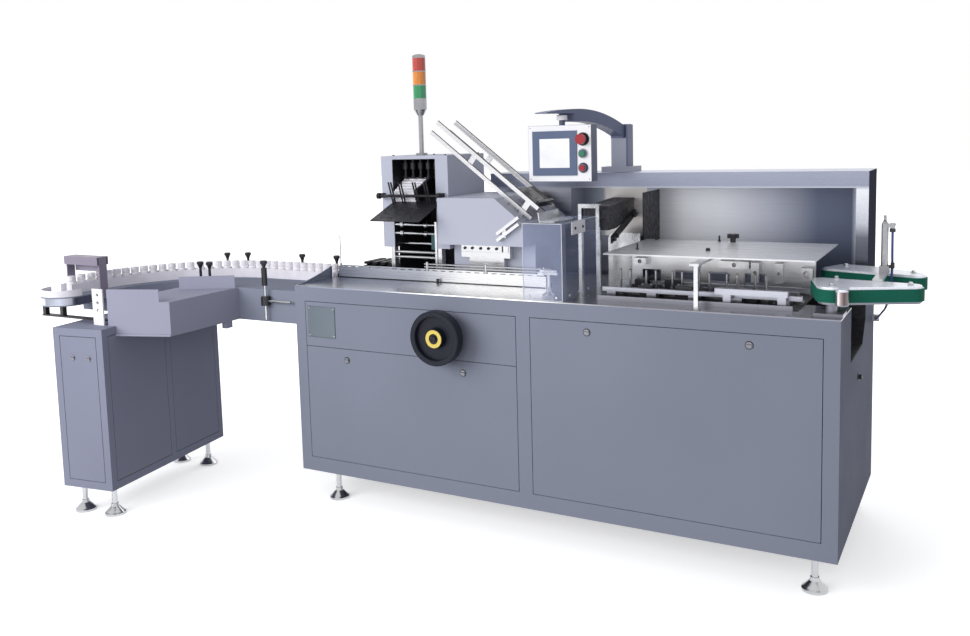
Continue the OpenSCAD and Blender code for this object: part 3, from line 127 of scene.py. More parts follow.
def makeWorld(settings):
    world = bpy.data.worlds.new("studioWorld")
    scene.world = world
    world.use_nodes = True
    tree = world.node_tree
    tree.nodes.clear()
    soft = tree.nodes.new("ShaderNodeBackground")
    soft.inputs["Color"].default_value = (*settings["ambientColor"], 1)
    soft.inputs["Strength"].default_value = settings["ambient"]
    white = tree.nodes.new("ShaderNodeBackground")
    white.inputs["Color"].default_value = (1, 1, 1, 1)
    white.inputs["Strength"].default_value = 1
    choose = tree.nodes.new("ShaderNodeMixShader")
    output = tree.nodes.new("ShaderNodeOutputWorld")
    tree.links.new(addSeen(tree), choose.inputs["Fac"])
    tree.links.new(soft.outputs[0], choose.inputs[1])
    tree.links.new(white.outputs[0], choose.inputs[2])
    tree.links.new(choose.outputs[0], output.inputs["Surface"])


# the floor looks white, and throws less light back on the machine
def makeFloor(settings):
    bm = bmesh.new()
    bmesh.ops.create_grid(bm, x_segments=1, y_segments=1, size=settings["floorSize"] / 2)
    mesh = bpy.data.meshes.new("studioFloor")
    bm.to_mesh(mesh)
    bm.free()
    floor = bpy.data.objects.new("studioFloor", mesh)
    scene.collection.objects.link(floor)
    material = bpy.data.materials.new("studioFloor")
    material.use_nodes = True
    tree = material.node_tree
    shader = tree.nodes["Principled BSDF"]
    shader.inputs["Roughness"].default_value = 0.9
    shader.inputs["Specular IOR Level"].default_value = 0
    shader.inputs["Emission Color"].default_value = (1, 1, 1, 1)
    seen = addSeen(tree)
    tone = tree.nodes.new("ShaderNodeMix")
    tone.data_type = "RGBA"
    tone.inputs[6].default_value = (*settings["floorDim"], 1)
    tone.inputs[7].default_value = (*settings["floorColor"], 1)
    tree.links.new(seen, tone.inputs[0])
    tree.links.new(tone.outputs[2], shader.inputs["Base Color"])
    coordinates = tree.nodes.new("ShaderNodeTexCoord")
    reach = tree.nodes.new("ShaderNodeVectorMath")
    reach.operation = "LENGTH"
    tree.links.new(coordinates.outputs["Object"], reach.inputs[0])
    spread = tree.nodes.new("ShaderNodeMapRange")
    near, far = settings["floorGlowReach"]
    spread.inputs["From Min"].default_value = near
    spread.inputs["From Max"].default_value = far
    spread.inputs["To Min"].default_value = settings["floorGlow"]
    spread.inputs["To Max"].default_value = settings["floorGlowFar"]
    tree.links.new(reach.outputs["Value"], spread.inputs["Value"])
    glow = tree.nodes.new("ShaderNodeMath")
    glow.operation = "MULTIPLY"
    tree.links.new(spread.outputs["Result"], glow.inputs[0])
    tree.links.new(seen, glow.inputs[1])
    tree.links.new(glow.outputs[0], shader.inputs["Emission Strength"])
    mesh.materials.append(material)


makeCamera(photoCamera)
makeWorld(studio)
makeFloor(studio)
for lamp in studio["lamps"]:
    addLamp(*lamp)
print("camera and studio set")


# starts a material and returns it with its tree and its shader
def startFinish(name, color, metallic, roughness):
    material = bpy.data.materials.new(name)
    material.use_nodes = True
    tree = material.node_tree
    shader = tree.nodes["Principled BSDF"]
    shader.inputs["Base Color"].default_value = (*color, 1)
    shader.inputs["Metallic"].default_value = metallic
    shader.inputs["Roughness"].default_value = roughness
    return material, tree, shader


# noise on object coordinates, stretched by the scale along each axis
def addNoise(tree, scale, stretch=(1, 1, 1), detail=4):
    coordinates = tree.nodes.new("ShaderNodeTexCoord")
    mapping = tree.nodes.new("ShaderNodeMapping")
    mapping.inputs["Scale"].default_value = stretch
    noise = tree.nodes.new("ShaderNodeTexNoise")
    noise.inputs["Scale"].default_value = scale
    noise.inputs["Detail"].default_value = detail
    tree.links.new(coordinates.outputs["Object"], mapping.inputs["Vector"])
    tree.links.new(mapping.outputs["Vector"], noise.inputs["Vector"])
    return noise.outputs["Fac"]


# lets a noise swing a value between low and high
def addRange(tree, source, low, high):
    spread = tree.nodes.new("ShaderNodeMapRange")
    spread.inputs["From Min"].default_value = 0.3
    spread.inputs["From Max"].default_value = 0.7
    spread.inputs["To Min"].default_value = low
    spread.inputs["To Max"].default_value = high
    tree.links.new(source, spread.inputs["Value"])
    return spread.outputs["Result"]


# lets a noise swing the colour between two tones
def addTones(tree, source, first, second, shader):
    mix = tree.nodes.new("ShaderNodeMix")
    mix.data_type = "RGBA"
    mix.inputs[6].default_value = (*first, 1)
    mix.inputs[7].default_value = (*second, 1)
    tree.links.new(addRange(tree, source, 0, 1), mix.inputs[0])
    tree.links.new(mix.outputs[2], shader.inputs["Base Color"])


def addBump(tree, source, strength, distance, shader):
    bump = tree.nodes.new("ShaderNodeBump")
    bump.inputs["Strength"].default_value = strength
    bump.inputs["Distance"].default_value = distance
    tree.links.new(source, bump.inputs["Height"])
    tree.links.new(bump.outputs["Normal"], shader.inputs["Normal"])


def shaded(color, factor):
    return tuple(min(1, c * factor) for c in color)


# sprayed coat: soft cloudiness and a fine orange peel
def sprayedPaint(name, color, roughness=0.5, gloss=0.015):
    material, tree, shader = startFinish(name, color, 0, roughness)
    shader.inputs["Specular IOR Level"].default_value = gloss
    addTones(tree, addNoise(tree, 1.3, detail=2), shaded(color, 0.95), shaded(color, 1.05), shader)
    sheen = addRange(tree, addNoise(tree, 9), roughness - 0.05, roughness + 0.06)
    tree.links.new(sheen, shader.inputs["Roughness"])
    addBump(tree, addNoise(tree, 420, detail=2), 0.12, 0.0006, shader)
    return material


# painted reflection and shade: colour that runs along one axis of the machine, as (millimetres, colour) stops
def addPaintedLight(tree, axis, stops):
    coordinates = tree.nodes.new("ShaderNodeTexCoord")
    parts = tree.nodes.new("ShaderNodeSeparateXYZ")
    spread = tree.nodes.new("ShaderNodeMapRange")
    ramp = tree.nodes.new("ShaderNodeValToRGB")
    places = [getattr(at(millimetres, millimetres, millimetres), axis) for millimetres, color in stops]
    spread.inputs["From Min"].default_value = places[0]
    spread.inputs["From Max"].default_value = places[-1]
    while len(ramp.color_ramp.elements) < len(stops):
        ramp.color_ramp.elements.new(0.5)
    for element, place, (millimetres, color) in zip(ramp.color_ramp.elements, places, stops):
        element.position = (place - places[0]) / (places[-1] - places[0])
        element.color = (*color, 1)
    tree.links.new(coordinates.outputs["Object"], parts.inputs["Vector"])
    tree.links.new(parts.outputs[axis.upper()], spread.inputs["Value"])
    tree.links.new(spread.outputs["Result"], ramp.inputs["Fac"])
    return ramp.outputs["Color"]


# brushed stainless: long streaks along one axis, and a broad painted reflection and shade along an axis where
# stops are given
def brushedSteel(name, color, roughness=0.3, along="x", paintedLight=None, metallic=1):
    stretch = {"x": (1, 160, 160), "y": (160, 1, 160), "z": (160, 160, 1)}[along]
    material, tree, shader = startFinish(name, color, metallic, roughness)
    streaks = addNoise(tree, 5, stretch, detail=5)
    if paintedLight:
        axis, stops = paintedLight
        blend = tree.nodes.new("ShaderNodeMix")
        blend.data_type = "RGBA"
        blend.blend_type = "MULTIPLY"
        blend.inputs[0].default_value = 1
        tree.links.new(addPaintedLight(tree, axis, stops), blend.inputs[6])
        tree.links.new(addRange(tree, streaks, 0.93, 1.05), blend.inputs[7])
        tree.links.new(blend.outputs[2], shader.inputs["Base Color"])
    else:
        addTones(tree, streaks, shaded(color, 0.92), shaded(color, 1.06), shader)
    tree.links.new(addRange(tree, streaks, roughness - 0.05, roughness + 0.07), shader.inputs["Roughness"])
    addBump(tree, streaks, 0.03, 0.0003, shader)
    return material


# two colours on one piece, parted at a place along x
def partedFinish(name, low, high, millimetres, roughness=0.35):
    material, tree, shader = startFinish(name, low, 0, roughness)
    coordinates = tree.nodes.new("ShaderNodeTexCoord")
    parts = tree.nodes.new("ShaderNodeSeparateXYZ")
    side = tree.nodes.new("ShaderNodeMath")
    side.operation = "GREATER_THAN"
    side.inputs[1].default_value = at(millimetres, 0, 0).x
    mix = tree.nodes.new("ShaderNodeMix")
    mix.data_type = "RGBA"
    mix.inputs[6].default_value = (*low, 1)
    mix.inputs[7].default_value = (*high, 1)
    tree.links.new(coordinates.outputs["Object"], parts.inputs["Vector"])
    tree.links.new(parts.outputs["X"], side.inputs[0])
    tree.links.new(side.outputs[0], mix.inputs[0])
    tree.links.new(mix.outputs[2], shader.inputs["Base Color"])
    sheen = addRange(tree, addNoise(tree, 20), roughness - 0.06, roughness + 0.08)
    tree.links.new(sheen, shader.inputs["Roughness"])
    addBump(tree, addNoise(tree, 400, detail=2), 0.12, 0.0004, shader)
    return material


# plain bright metal with faint smears
def brightMetal(name, color, roughness=0.14):
    material, tree, shader = startFinish(name, color, 1, roughness)
    smears = addNoise(tree, 24, detail=3)
    tree.links.new(addRange(tree, smears, roughness * 0.7, roughness * 1.6), shader.inputs["Roughness"])
    addTones(tree, smears, shaded(color, 0.92), shaded(color, 1.04), shader)
    return material


# moulded plastic with a fine grain
def mouldedPlastic(name, color, roughness=0.4, grain=700, gloss=0.5):
    material, tree, shader = startFinish(name, color, 0, roughness)
    shader.inputs["Specular IOR Level"].default_value = gloss
    addTones(tree, addNoise(tree, 14, detail=3), shaded(color, 0.93), shaded(color, 1.06), shader)
    addBump(tree, addNoise(tree, grain, detail=2), 0.15, 0.0004, shader)
    return material


# blackened machine steel, worn a little brighter in places
def darkSteel(name, color, roughness=0.45):
    material, tree, shader = startFinish(name, color, 0.6, roughness)
    wear = addNoise(tree, 60, detail=6)
    addTones(tree, wear, shaded(color, 0.7), shaded(color, 1.6), shader)
    tree.links.new(addRange(tree, wear, roughness + 0.1, roughness - 0.1), shader.inputs["Roughness"])
    addBump(tree, addNoise(tree, 300), 0.2, 0.0004, shader)
    return material


# clear acrylic: thin, faintly blue, with a few smears
def clearSheet(name, color, alpha):
    material, tree, shader = startFinish(name, color, 0, 0.05)
    shader.inputs["IOR"].default_value = 1.45
    tree.links.new(addRange(tree, addNoise(tree, 12), 0.03, 0.14), shader.inputs["Roughness"])
    smears = addRange(tree, addNoise(tree, 7, detail=3), alpha * 0.7, alpha * 1.3)
    tree.links.new(smears, shader.inputs["Alpha"])
    return material


# woven rubber belt
def wovenBelt(name, color):
    material, tree, shader = startFinish(name, color, 0, 0.6)
    shader.inputs["Specular IOR Level"].default_value = 0.15
    weave = addNoise(tree, 260, (1, 1, 3), detail=1)
    addTones(tree, weave, shaded(color, 0.8), shaded(color, 1.15), shader)
    addBump(tree, weave, 0.3, 0.0006, shader)
    return material


# lamp cover with upright ribs inside
def lampCover(name, color):
    material, tree, shader = startFinish(name, color, 0, 0.22)
    ribs = addNoise(tree, 120, (1, 1, 0.02), detail=1)
    addTones(tree, ribs, shaded(color, 0.6), shaded(color, 1.25), shader)
    addBump(tree, ribs, 0.3, 0.001, shader)
    shader.inputs["Coat Weight"].default_value = 0.5
    return material


# painted reflection and shade on the hood frame: darker low down, a bright band higher up, darker again on
# top
hoodPaintedReflection = [(900, (0.14, 0.15, 0.18)), (1095, (0.17, 0.18, 0.22)), (1150, (0.52, 0.54, 0.60)),
             (1272, (0.72, 0.73, 0.79)), (1288, (0.285, 0.305, 0.395)), (1345, (0.32, 0.34, 0.43))]
# painted reflection on the hood's back sheet: pale at the left, dark towards the right, with a bright stripe
# near the end
hoodBackPaintedReflection = [(1289, (0.74, 0.75, 0.80)), (1400, (0.92, 0.93, 0.98)), (1560, (0.80, 0.82, 0.88)),
                 (1760, (0.46, 0.48, 0.57)), (1940, (0.125, 0.15, 0.225)), (2066, (0.10, 0.12, 0.185)),
                 (2082, (0.55, 0.59, 0.70)), (2107, (0.34, 0.36, 0.43))]
# painted shade on the outfeed's lower parts and a painted highlight on its upper plates
outfeedPaintedShadeAndHighlight = [(900, (0.26, 0.26, 0.30)), (948, (0.22, 0.22, 0.26)), (953, (0.26, 0.28, 0.33)),
                (992, (0.34, 0.35, 0.40)), (998, (0.80, 0.83, 0.90)), (1020, (0.84, 0.86, 0.92))]
# painted reflection round the drum band: a bright band near the middle and darker sides
drumPaintedReflection = [(-1032, (0.16, 0.15, 0.20)), (-1000, (0.42, 0.41, 0.50)), (-962, (0.80, 0.80, 0.90)),
             (-946, (0.72, 0.73, 0.84)), (-930, (0.30, 0.32, 0.38)), (-870, (0.42, 0.44, 0.52)),
             (-828, (0.24, 0.25, 0.30))]
# painted reflection on the idler sleeve: a bright stripe beside a dark one
rollerPaintedReflection = [(2130, (0.40, 0.36, 0.36)), (2139, (0.80, 0.77, 0.76)), (2147, (0.34, 0.27, 0.27)),
               (2158, (0.10, 0.08, 0.085)), (2170, (0.22, 0.19, 0.19))]
# painted reflection on the deck: bright in the middle, darker towards both ends
deckPaintedReflection = [(0, (0.20, 0.22, 0.29)), (420, (0.30, 0.32, 0.39)), (640, (0.94, 0.93, 0.94)),
             (1050, (0.97, 0.96, 0.94)), (1230, (0.36, 0.36, 0.38)), (1420, (0.20, 0.20, 0.22)),
             (2150, (0.23, 0.23, 0.27))]
# painted reflection on the hood's front sheet: a dark band at the left, pale to the right
hoodFrontPaintedReflection = [(948, (0.34, 0.36, 0.42)), (1010, (0.15, 0.17, 0.22)), (1098, (0.26, 0.29, 0.33)),
                  (1112, (0.62, 0.59, 0.58)), (1288, (0.66, 0.63, 0.62))]
# painted reflection on the ledge: dark at the left, bright towards the middle
ledgePaintedReflection = [(0, (0.28, 0.30, 0.37)), (450, (0.50, 0.52, 0.58)), (640, (0.94, 0.94, 0.95)),
              (1050, (0.99, 0.99, 0.98))]
# painted reflection on the cover plate: darker at the left, bright to the right
coverPaintedReflection = [(1300, (0.44, 0.45, 0.48)), (1430, (0.60, 0.61, 0.64)), (1520, (0.88, 0.88, 0.90)),
              (1800, (0.92, 0.92, 0.95)), (2050, (0.80, 0.81, 0.86))]
finishes = {
    "cabinetPaint": sprayedPaint("cabinetPaint", (0.227, 0.245, 0.312), gloss=0.003),
    "infeedPaint": sprayedPaint("infeedPaint", (0.245, 0.257, 0.338)),
    "tablePaint": sprayedPaint("tablePaint", (0.335, 0.34, 0.435)),
    "hoodSteel": brushedSteel("hoodSteel", (0.40, 0.42, 0.49), 0.3, "x", ("z", hoodPaintedReflection)),
    "hoodBackSteel": brushedSteel("hoodBackSteel", (0.40, 0.42, 0.49), 0.38, "x", ("x", hoodBackPaintedReflection), 0.35),
    "deckSteel": brushedSteel("deckSteel", (0.40, 0.41, 0.45), 0.2, "x", ("x", deckPaintedReflection), 0.8),
    "ledgeSteel": brushedSteel("ledgeSteel", (0.70, 0.71, 0.74), 0.25, "x", ("x", ledgePaintedReflection), 0.55),
    "coverSteel": brushedSteel("coverSteel", (0.52, 0.53, 0.57), 0.24, "x", ("x", coverPaintedReflection), 0.1),
    "sheetSteel": brushedSteel("sheetSteel", (0.70, 0.70, 0.72), 0.32),
    "plateSteel": brushedSteel("plateSteel", (0.46, 0.47, 0.53), 0.3),
    "blastedSteel": sprayedPaint("blastedSteel", (0.47, 0.49, 0.585), 0.45, 0.2),
    "brightSteel": brightMetal("brightSteel", (0.58, 0.59, 0.61), 0.2),
    "machinedSteel": brightMetal("machinedSteel", (0.36, 0.36, 0.38), 0.3),
    "blackPlastic": mouldedPlastic("blackPlastic", (0.014, 0.014, 0.018), 0.35),
    "wheelBlack": mouldedPlastic("wheelBlack", (0.012, 0.014, 0.023), 0.42, gloss=0.22),
    "lockSteel": brightMetal("lockSteel", (0.20, 0.20, 0.225), 0.25),
    "outfeedSteel": brushedSteel("outfeedSteel", (0.46, 0.47, 0.53), 0.3, "x", ("z", outfeedPaintedShadeAndHighlight), 0.5),
    "drumSteel": brushedSteel("drumSteel", (0.50, 0.51, 0.58), 0.2, "z", ("x", drumPaintedReflection)),
    "rollerSteel": brushedSteel("rollerSteel", (0.30, 0.27, 0.27), 0.25, "z", ("x", rollerPaintedReflection)),
    "darkMetal": darkSteel("darkMetal", (0.028, 0.028, 0.034)),
    "whitePlastic": mouldedPlastic("whitePlastic", (0.80, 0.78, 0.84), 0.35),
    "bottleWhite": mouldedPlastic("bottleWhite", (0.85, 0.83, 0.88), 0.3, 200),
    "portalGrey": partedFinish("portalGrey", (0.23, 0.205, 0.27), (0.82, 0.80, 0.84), -750),
    "hubYellow": mouldedPlastic("hubYellow", (0.72, 0.56, 0.12), 0.4),
    "clearSheet": clearSheet("clearSheet", (0.46, 0.53, 0.80), 0.17),
    "clearEdge": clearSheet("clearEdge", (0.70, 0.73, 0.80), 0.7),
    "beltGreen": wovenBelt("beltGreen", (0.010, 0.115, 0.078)),
    "hoseBlue": mouldedPlastic("hoseBlue", (0.03, 0.05, 0.22), 0.3),
    "armSlate": sprayedPaint("armSlate", (0.18, 0.20, 0.305), 0.45, 0.2),
    "boxGrey": sprayedPaint("boxGrey", (0.46, 0.475, 0.56), 0.45, 0.2),
    "panelWhite": sprayedPaint("panelWhite", (0.90, 0.90, 0.93), 0.4, 0.3),
    "bezelSlate": sprayedPaint("bezelSlate", (0.115, 0.145, 0.235), 0.4, 0.3),
    "displayPale": mouldedPlastic("displayPale", (0.92, 0.93, 0.96), 0.2, 90),
    "signalRed": lampCover("signalRed", (0.50, 0.05, 0.035)),
    "signalAmber": lampCover("signalAmber", (0.72, 0.24, 0.03)),
    "signalGreen": lampCover("signalGreen", (0.02, 0.28, 0.11)),
    "buttonRed": mouldedPlastic("buttonRed", (0.34, 0.015, 0.025), 0.3),
    "buttonGreen": mouldedPlastic("buttonGreen", (0.02, 0.20, 0.10), 0.3),
    "paper": mouldedPlastic("paper", (0.90, 0.89, 0.97), 0.7, 300),
    "tealPlastic": mouldedPlastic("tealPlastic", (0.012, 0.075, 0.085), 0.4),
    "panelSlate": sprayedPaint("panelSlate", (0.135, 0.15, 0.225), 0.45, 0.15),
    "hoodFrontSteel": brushedSteel("hoodFrontSteel", (0.5, 0.5, 0.5), 0.35, "x", ("x", hoodFrontPaintedReflection)),
    "portalSheet": sprayedPaint("portalSheet", (0.34, 0.31, 0.40), 0.45, 0.2),
    # painted shade: near-black colour for the hood's end, which faces away from the lamps
    "hoodEndPaintedShade": sprayedPaint("hoodEndPaintedShade", (0.085, 0.09, 0.125), 0.5, 0),
    "rearSteel": brushedSteel("rearSteel", (0.40, 0.42, 0.48), 0.34),
    "plateDark": brushedSteel("plateDark", (0.17, 0.20, 0.23), 0.4),
}

nodeFinishes = {
    "cabinetPaint": ["cabinet", "front_panels", "rear_panels", "infeed_beam"],
    "infeedPaint": ["infeed_cabinet", "infeed_panels"],
    "tablePaint": ["infeed_tray"],
    "hoodSteel": ["hood_frame"],
    "hoodBackSteel": ["hood_back"],
    "deckSteel": ["worktop"],
    "ledgeSteel": ["product_ledge"],
    "coverSteel": ["cover_plate"],
    "sheetSteel": ["magazine_rails", "outfeed_bridge", "leaflet_stand", "tuck_wall", "cam_block"],
    "plateSteel": ["carton_rails"],
    "outfeedSteel": ["outfeed_units"],
    "blastedSteel": ["leaflet_housing", "centre_housing", "centre_cover"],
    "brightSteel": ["levelling_feet", "leaflet_shafts", "guide_rods", "cover_bracket", "guard_fittings"],
    "lockSteel": ["panel_locks"],
    "machinedSteel": ["air_cylinder", "signal_pole", "carton_lugs"],
    "wheelBlack": ["handwheel"],
    "blackPlastic": ["infeed_clamps", "cover_knob"],
    # the leaflet_tray node holds a dark liner on the inner walls of the leaflet housing: painted shade
    "darkMetal": ["product_chain", "handwheel_boss", "leaflet_tray", "leaflet_fingers", "magazine_gate",
                  "pickup_cover"],
    "whitePlastic": ["infeed_chain", "infeed_rails"],
    "portalGrey": ["infeed_bracket"],
    "bottleWhite": ["bottles"],
    "hubYellow": ["handwheel_ring"],
    "clearSheet": ["clear_guard"],
    "beltGreen": ["outfeed_belts"],
    "armSlate": ["panel_arm"],
    "boxGrey": ["arm_base"],
    "panelSlate": ["panel_box"],
    "bezelSlate": ["panel_screen"],
    "displayPale": ["panel_display"],
    "signalRed": ["signal_red"],
    "signalAmber": ["signal_amber"],
    "signalGreen": ["signal_green"],
    "buttonRed": ["estop_button", "stop_button"],
    "buttonGreen": ["start_button"],
    "paper": ["leaflet_stack"],
    "hoseBlue": ["air_hose"],
}
for finish, names in nodeFinishes.items():
    for name in names:
        cadNodes[name].data.materials.clear()
        cadNodes[name].data.materials.append(finishes[finish])
print("finishes on", sum(len(names) for names in nodeFinishes.values()), "nodes")


# turns a finished bmesh into a piece that rides on a body
def addPiece(name, bm, finish, body="machine"):
    bmesh.ops.recalc_face_normals(bm, faces=bm.faces)
    mesh = bpy.data.meshes.new(name)
    bm.to_mesh(mesh)
    bm.free()
    mesh.materials.append(finishes[finish])
    piece = bpy.data.objects.new(name, mesh)
    scene.collection.objects.link(piece)
    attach(piece, body)


airHose = {
    "route": [(2260, 350, 1162), (2260, 350, 1142), (2260, 351, 1120), (2260, 353, 1096), (2260, 356, 1072),
              (2260, 360, 1048), (2259, 365, 1024), (2258, 369, 1002), (2257, 372, 982), (2255, 375, 962),
              (2252, 381, 942), (2248, 392, 922), (2243, 409, 903), (2237, 432, 886), (2230, 460, 871),
              (2222, 492, 858), (2214, 527, 845), (2206, 564, 832), (2199, 602, 820), (2192, 642, 808),
              (2186, 682, 797), (2180, 720, 787), (2174, 757, 778), (2169, 792, 770), (2165, 822, 766),
              (2163, 838, 764), (2162, 848, 764)],
    "diameter": 0.008,
}


def makeAirHose(settings):
    points = [at(*point) for point in settings["route"]]
    curve = bpy.data.curves.new("airHose", "CURVE")
    curve.dimensions = "3D"
    curve.bevel_depth = settings["diameter"] / 2
    curve.bevel_resolution = 4
    curve.use_fill_caps = True
    spline = curve.splines.new("BEZIER")
    spline.bezier_points.add(len(points) - 1)
    for knot, point in zip(spline.bezier_points, points):
        knot.co = point
        knot.handle_left_type = "AUTO"
        knot.handle_right_type = "AUTO"
    curve.materials.append(finishes["hoseBlue"])
    hose = bpy.data.objects.new("airHose", curve)
    scene.collection.objects.link(hose)
    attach(hose, "machine")
    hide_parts("air_hose")


makeAirHose(airHose)
print("air hose laid")


# block between two corners given in machine millimetres, with softened edges
def addBlock(bm, low, high, soft=0.0):
    made = bmesh.ops.create_cube(bm, size=1)["verts"]
    first, last = at(*low), at(*high)
    bmesh.ops.scale(bm, vec=last - first, verts=made)
    bmesh.ops.translate(bm, vec=(first + last) / 2, verts=made)
    if soft:
        edges = list({edge for vert in made for edge in vert.link_edges})
        bmesh.ops.bevel(bm, geom=edges, offset=soft / 1000, offset_type="OFFSET", affect="EDGES",
                        segments=2, profile=0.5, material=-1)


# turns a profile of (radius, height) pairs in millimetres about an axis through a place
def addTurned(bm, profile, place, axis, segments=20):
    before = set(bm.verts)
    verts = [bm.verts.new((radius / 1000, 0, height / 1000)) for radius, height in profile]
    edges = [bm.edges.new(pair) for pair in zip(verts, verts[1:])]
    bmesh.ops.spin(bm, geom=verts + edges, cent=(0, 0, 0), axis=(0, 0, 1), angle=2 * math.pi,
                   steps=segments, use_merge=True)
    made = [vert for vert in bm.verts if vert not in before]
    bmesh.ops.remove_doubles(bm, verts=made, dist=1e-6)
    made = [vert for vert in bm.verts if vert not in before]
    turn = Vector(axis).to_track_quat("Z", "Y").to_matrix().to_4x4()
    bmesh.ops.transform(bm, matrix=Matrix.Translation(at(*place)) @ turn, verts=made)


# round bar with chamfered ends from a place along an axis
def addBar(bm, place, axis, length, radius, segments=16):
    edge = min(radius * 0.2, 1.0)
    addTurned(bm, [(0, 0), (radius - edge, 0), (radius, edge), (radius, length - edge),
                   (radius - edge, length), (0, length)], place, axis, segments)


# flat ring round an axis
def addRing(bm, place, axis, inner, outer, height, segments=32):
    edge = min(0.8, height * 0.3)
    addTurned(bm, [(inner, 0), (outer, 0), (outer, height - edge), (outer - edge, height),
                   (inner, height), (inner, 0)], place, axis, segments)


# socket-head screw standing on a face
def addScrew(bm, place, axis, radius, height):
    addTurned(bm, [(0, height * 0.4), (radius * 0.5, height * 0.4), (radius * 0.5, height),
                   (radius * 0.85, height), (radius, height * 0.82), (radius, -0.4), (0, -0.4)],
              place, axis, 12)


# domed rivet standing on a face
def addRivet(bm, place, axis, radius):
    addTurned(bm, [(0, radius * 0.55), (radius * 0.55, radius * 0.45), (radius * 0.9, radius * 0.18),
                   (radius, -0.3), (0, -0.3)], place, axis, 12)


front = (0, -1, 0)
up = (0, 0, 1)
namePlate = {"x": (61, 203), "z": (698, 829), "thick": 1.6, "border": 5, "rivet": 3.4, "inset": 9}


def makeNamePlate(settings):
    (x0, x1), (z0, z1) = settings["x"], settings["z"]
    bm = bmesh.new()
    addBlock(bm, (x0, -settings["thick"], z0), (x1, 0.2, z1))
    face = min(bm.faces, key=lambda f: f.calc_center_median().y)
    bmesh.ops.inset_individual(bm, faces=[face], thickness=settings["border"] / 1000, depth=-0.0006)
    addPiece("namePlate", bm, "plateDark")
    bm = bmesh.new()
    inset = settings["inset"]
    for x in (x0 + inset, x1 - inset):
        for z in (z0 + inset, z1 - inset):
            addRivet(bm, (x, 0.7 - settings["thick"], z), front, settings["rivet"])
    addPiece("namePlateRivets", bm, "brightSteel")


makeNamePlate(namePlate)

lockRims = {
    "places": [(255.4, 613), (799.1, 613), (1306.7, 809), (1871.2, 809)],
    "inner": 11.1,
    "outer": 14,
    "height": 2.2,
}


def makeLockRims(settings):
    bm = bmesh.new()
    for x, z in settings["places"]:
        addRing(bm, (x, 0.2, z), front, settings["inner"], settings["outer"], settings["height"])
    addPiece("lockRims", bm, "blackPlastic")


makeLockRims(lockRims)

hubBolt = {"place": (733, -98, 759), "radius": 11, "height": 8}


def makeHubBolt(settings):
    x, y, z = settings["place"]
    bm = bmesh.new()
    addRing(bm, (x, y + 1, z), front, 6, settings["radius"] + 5, 2.4)
    addScrew(bm, (x, y - 1.4, z), front, settings["radius"], settings["height"])
    addPiece("hubBolt", bm, "darkMetal", "handwheel")


makeHubBolt(hubBolt)

buttonRings = {
    "x": 1141,
    "face": 400,
    "estop": {"z": 1486, "inner": 16.1, "outer": 26, "height": 5},
    "start": {"z": 1430, "inner": 16.1, "outer": 20, "height": 6},
    "stop": {"z": 1374, "inner": 16.1, "outer": 20, "height": 6},
}


def makeButtonRings(settings):
    for name, finish, slot in (("estop", "blackPlastic", "black_plastic"),
                               ("start", "brightSteel", "bright_steel"),
                               ("stop", "blackPlastic", "black_plastic")):
        ring = settings[name]
        place = (settings["x"], settings["face"] + 0.2, ring["z"])
        bm = bmesh.new()
        addRing(bm, place, front, ring["inner"], ring["outer"], ring["height"])
        addPiece(name + "Collar", bm, finish, "panel")


makeButtonRings(buttonRings)
print("plate, locks, handwheel and button rings made")

panelFace = {"x": (906, 1174), "z": (1321, 1541), "face": 400, "thick": 0.8, "screw": 2.6, "inset": 8}


def makePanelFace(settings):
    (x0, x1), (z0, z1) = settings["x"], settings["z"]
    face = settings["face"]
    bm = bmesh.new()
    addBlock(bm, (x0, face - settings["thick"], z0), (x1, face + 0.2, z1), 0.25)
    addPiece("panelFace", bm, "panelWhite", "panel")
    bm = bmesh.new()
    inset = settings["inset"]
    for x in (x0 + inset, x1 - inset):
        for z in (z0 + inset, z1 - inset):
            addRivet(bm, (x, face - settings["thick"], z), front, settings["screw"])
    addPiece("panelScrews", bm, "machinedSteel", "panel")


makePanelFace(panelFace)

railEdges = {
    "origin": (819, 0, 1262),
    "slope": 38,
    "x": (-410, 160),
    "sides": [(299.6, 304.4), (449.6, 454.4)],
    "tops": [30, 80],
    "thick": 2.6,
}


def makeRailEdges(settings):
    x0, x1 = settings["x"]
    bm = bmesh.new()
    for y0, y1 in settings["sides"]:
        for top in settings["tops"]:
            made = bmesh.ops.create_cube(bm, size=1)["verts"]
            low = Vector((x0, y0, top - settings["thick"])) / 1000
            high = Vector((x1, y1, top + 0.3)) / 1000
            bmesh.ops.scale(bm, vec=high - low, verts=made)
            bmesh.ops.translate(bm, vec=(low + high) / 2, verts=made)
    tilt = Matrix.Rotation(math.radians(settings["slope"]), 4, "Y")
    bmesh.ops.transform(bm, matrix=Matrix.Translation(at(*settings["origin"])) @ tilt, verts=bm.verts)
    bmesh.ops.bevel(bm, geom=bm.edges[:], offset=0.0006, offset_type="OFFSET", affect="EDGES",
                    segments=1, profile=0.5, material=-1)
    addPiece("railEdges", bm, "darkMetal")


makeRailEdges(railEdges)

# the front sheet carries a painted reflection along x
hoodFrontReflectionSheet = {"x": (950, 1287), "y": (722.6, 725.2), "z": (1074, 1278)}
# the end sheet is painted shade: a dark sheet on the hood's end
hoodEndShadeSheet = {"x": (2149.8, 2151.4), "y": (666, 899), "z": (908, 1341)}
hoodRear = {"x": (594, 2146), "y": (899.8, 901.2), "z": (912, 1338), "pitch": 190, "inset": 14, "rivet": 4}


# thin sheet on a side of the hood; the front sheet carries painted reflection and the end sheet is painted
# shade
def makeHoodSheet(name, finish, settings):
    low, high = zip(settings["x"], settings["y"], settings["z"])
    bm = bmesh.new()
    addBlock(bm, low, high, 0.5)
    addPiece(name, bm, finish)


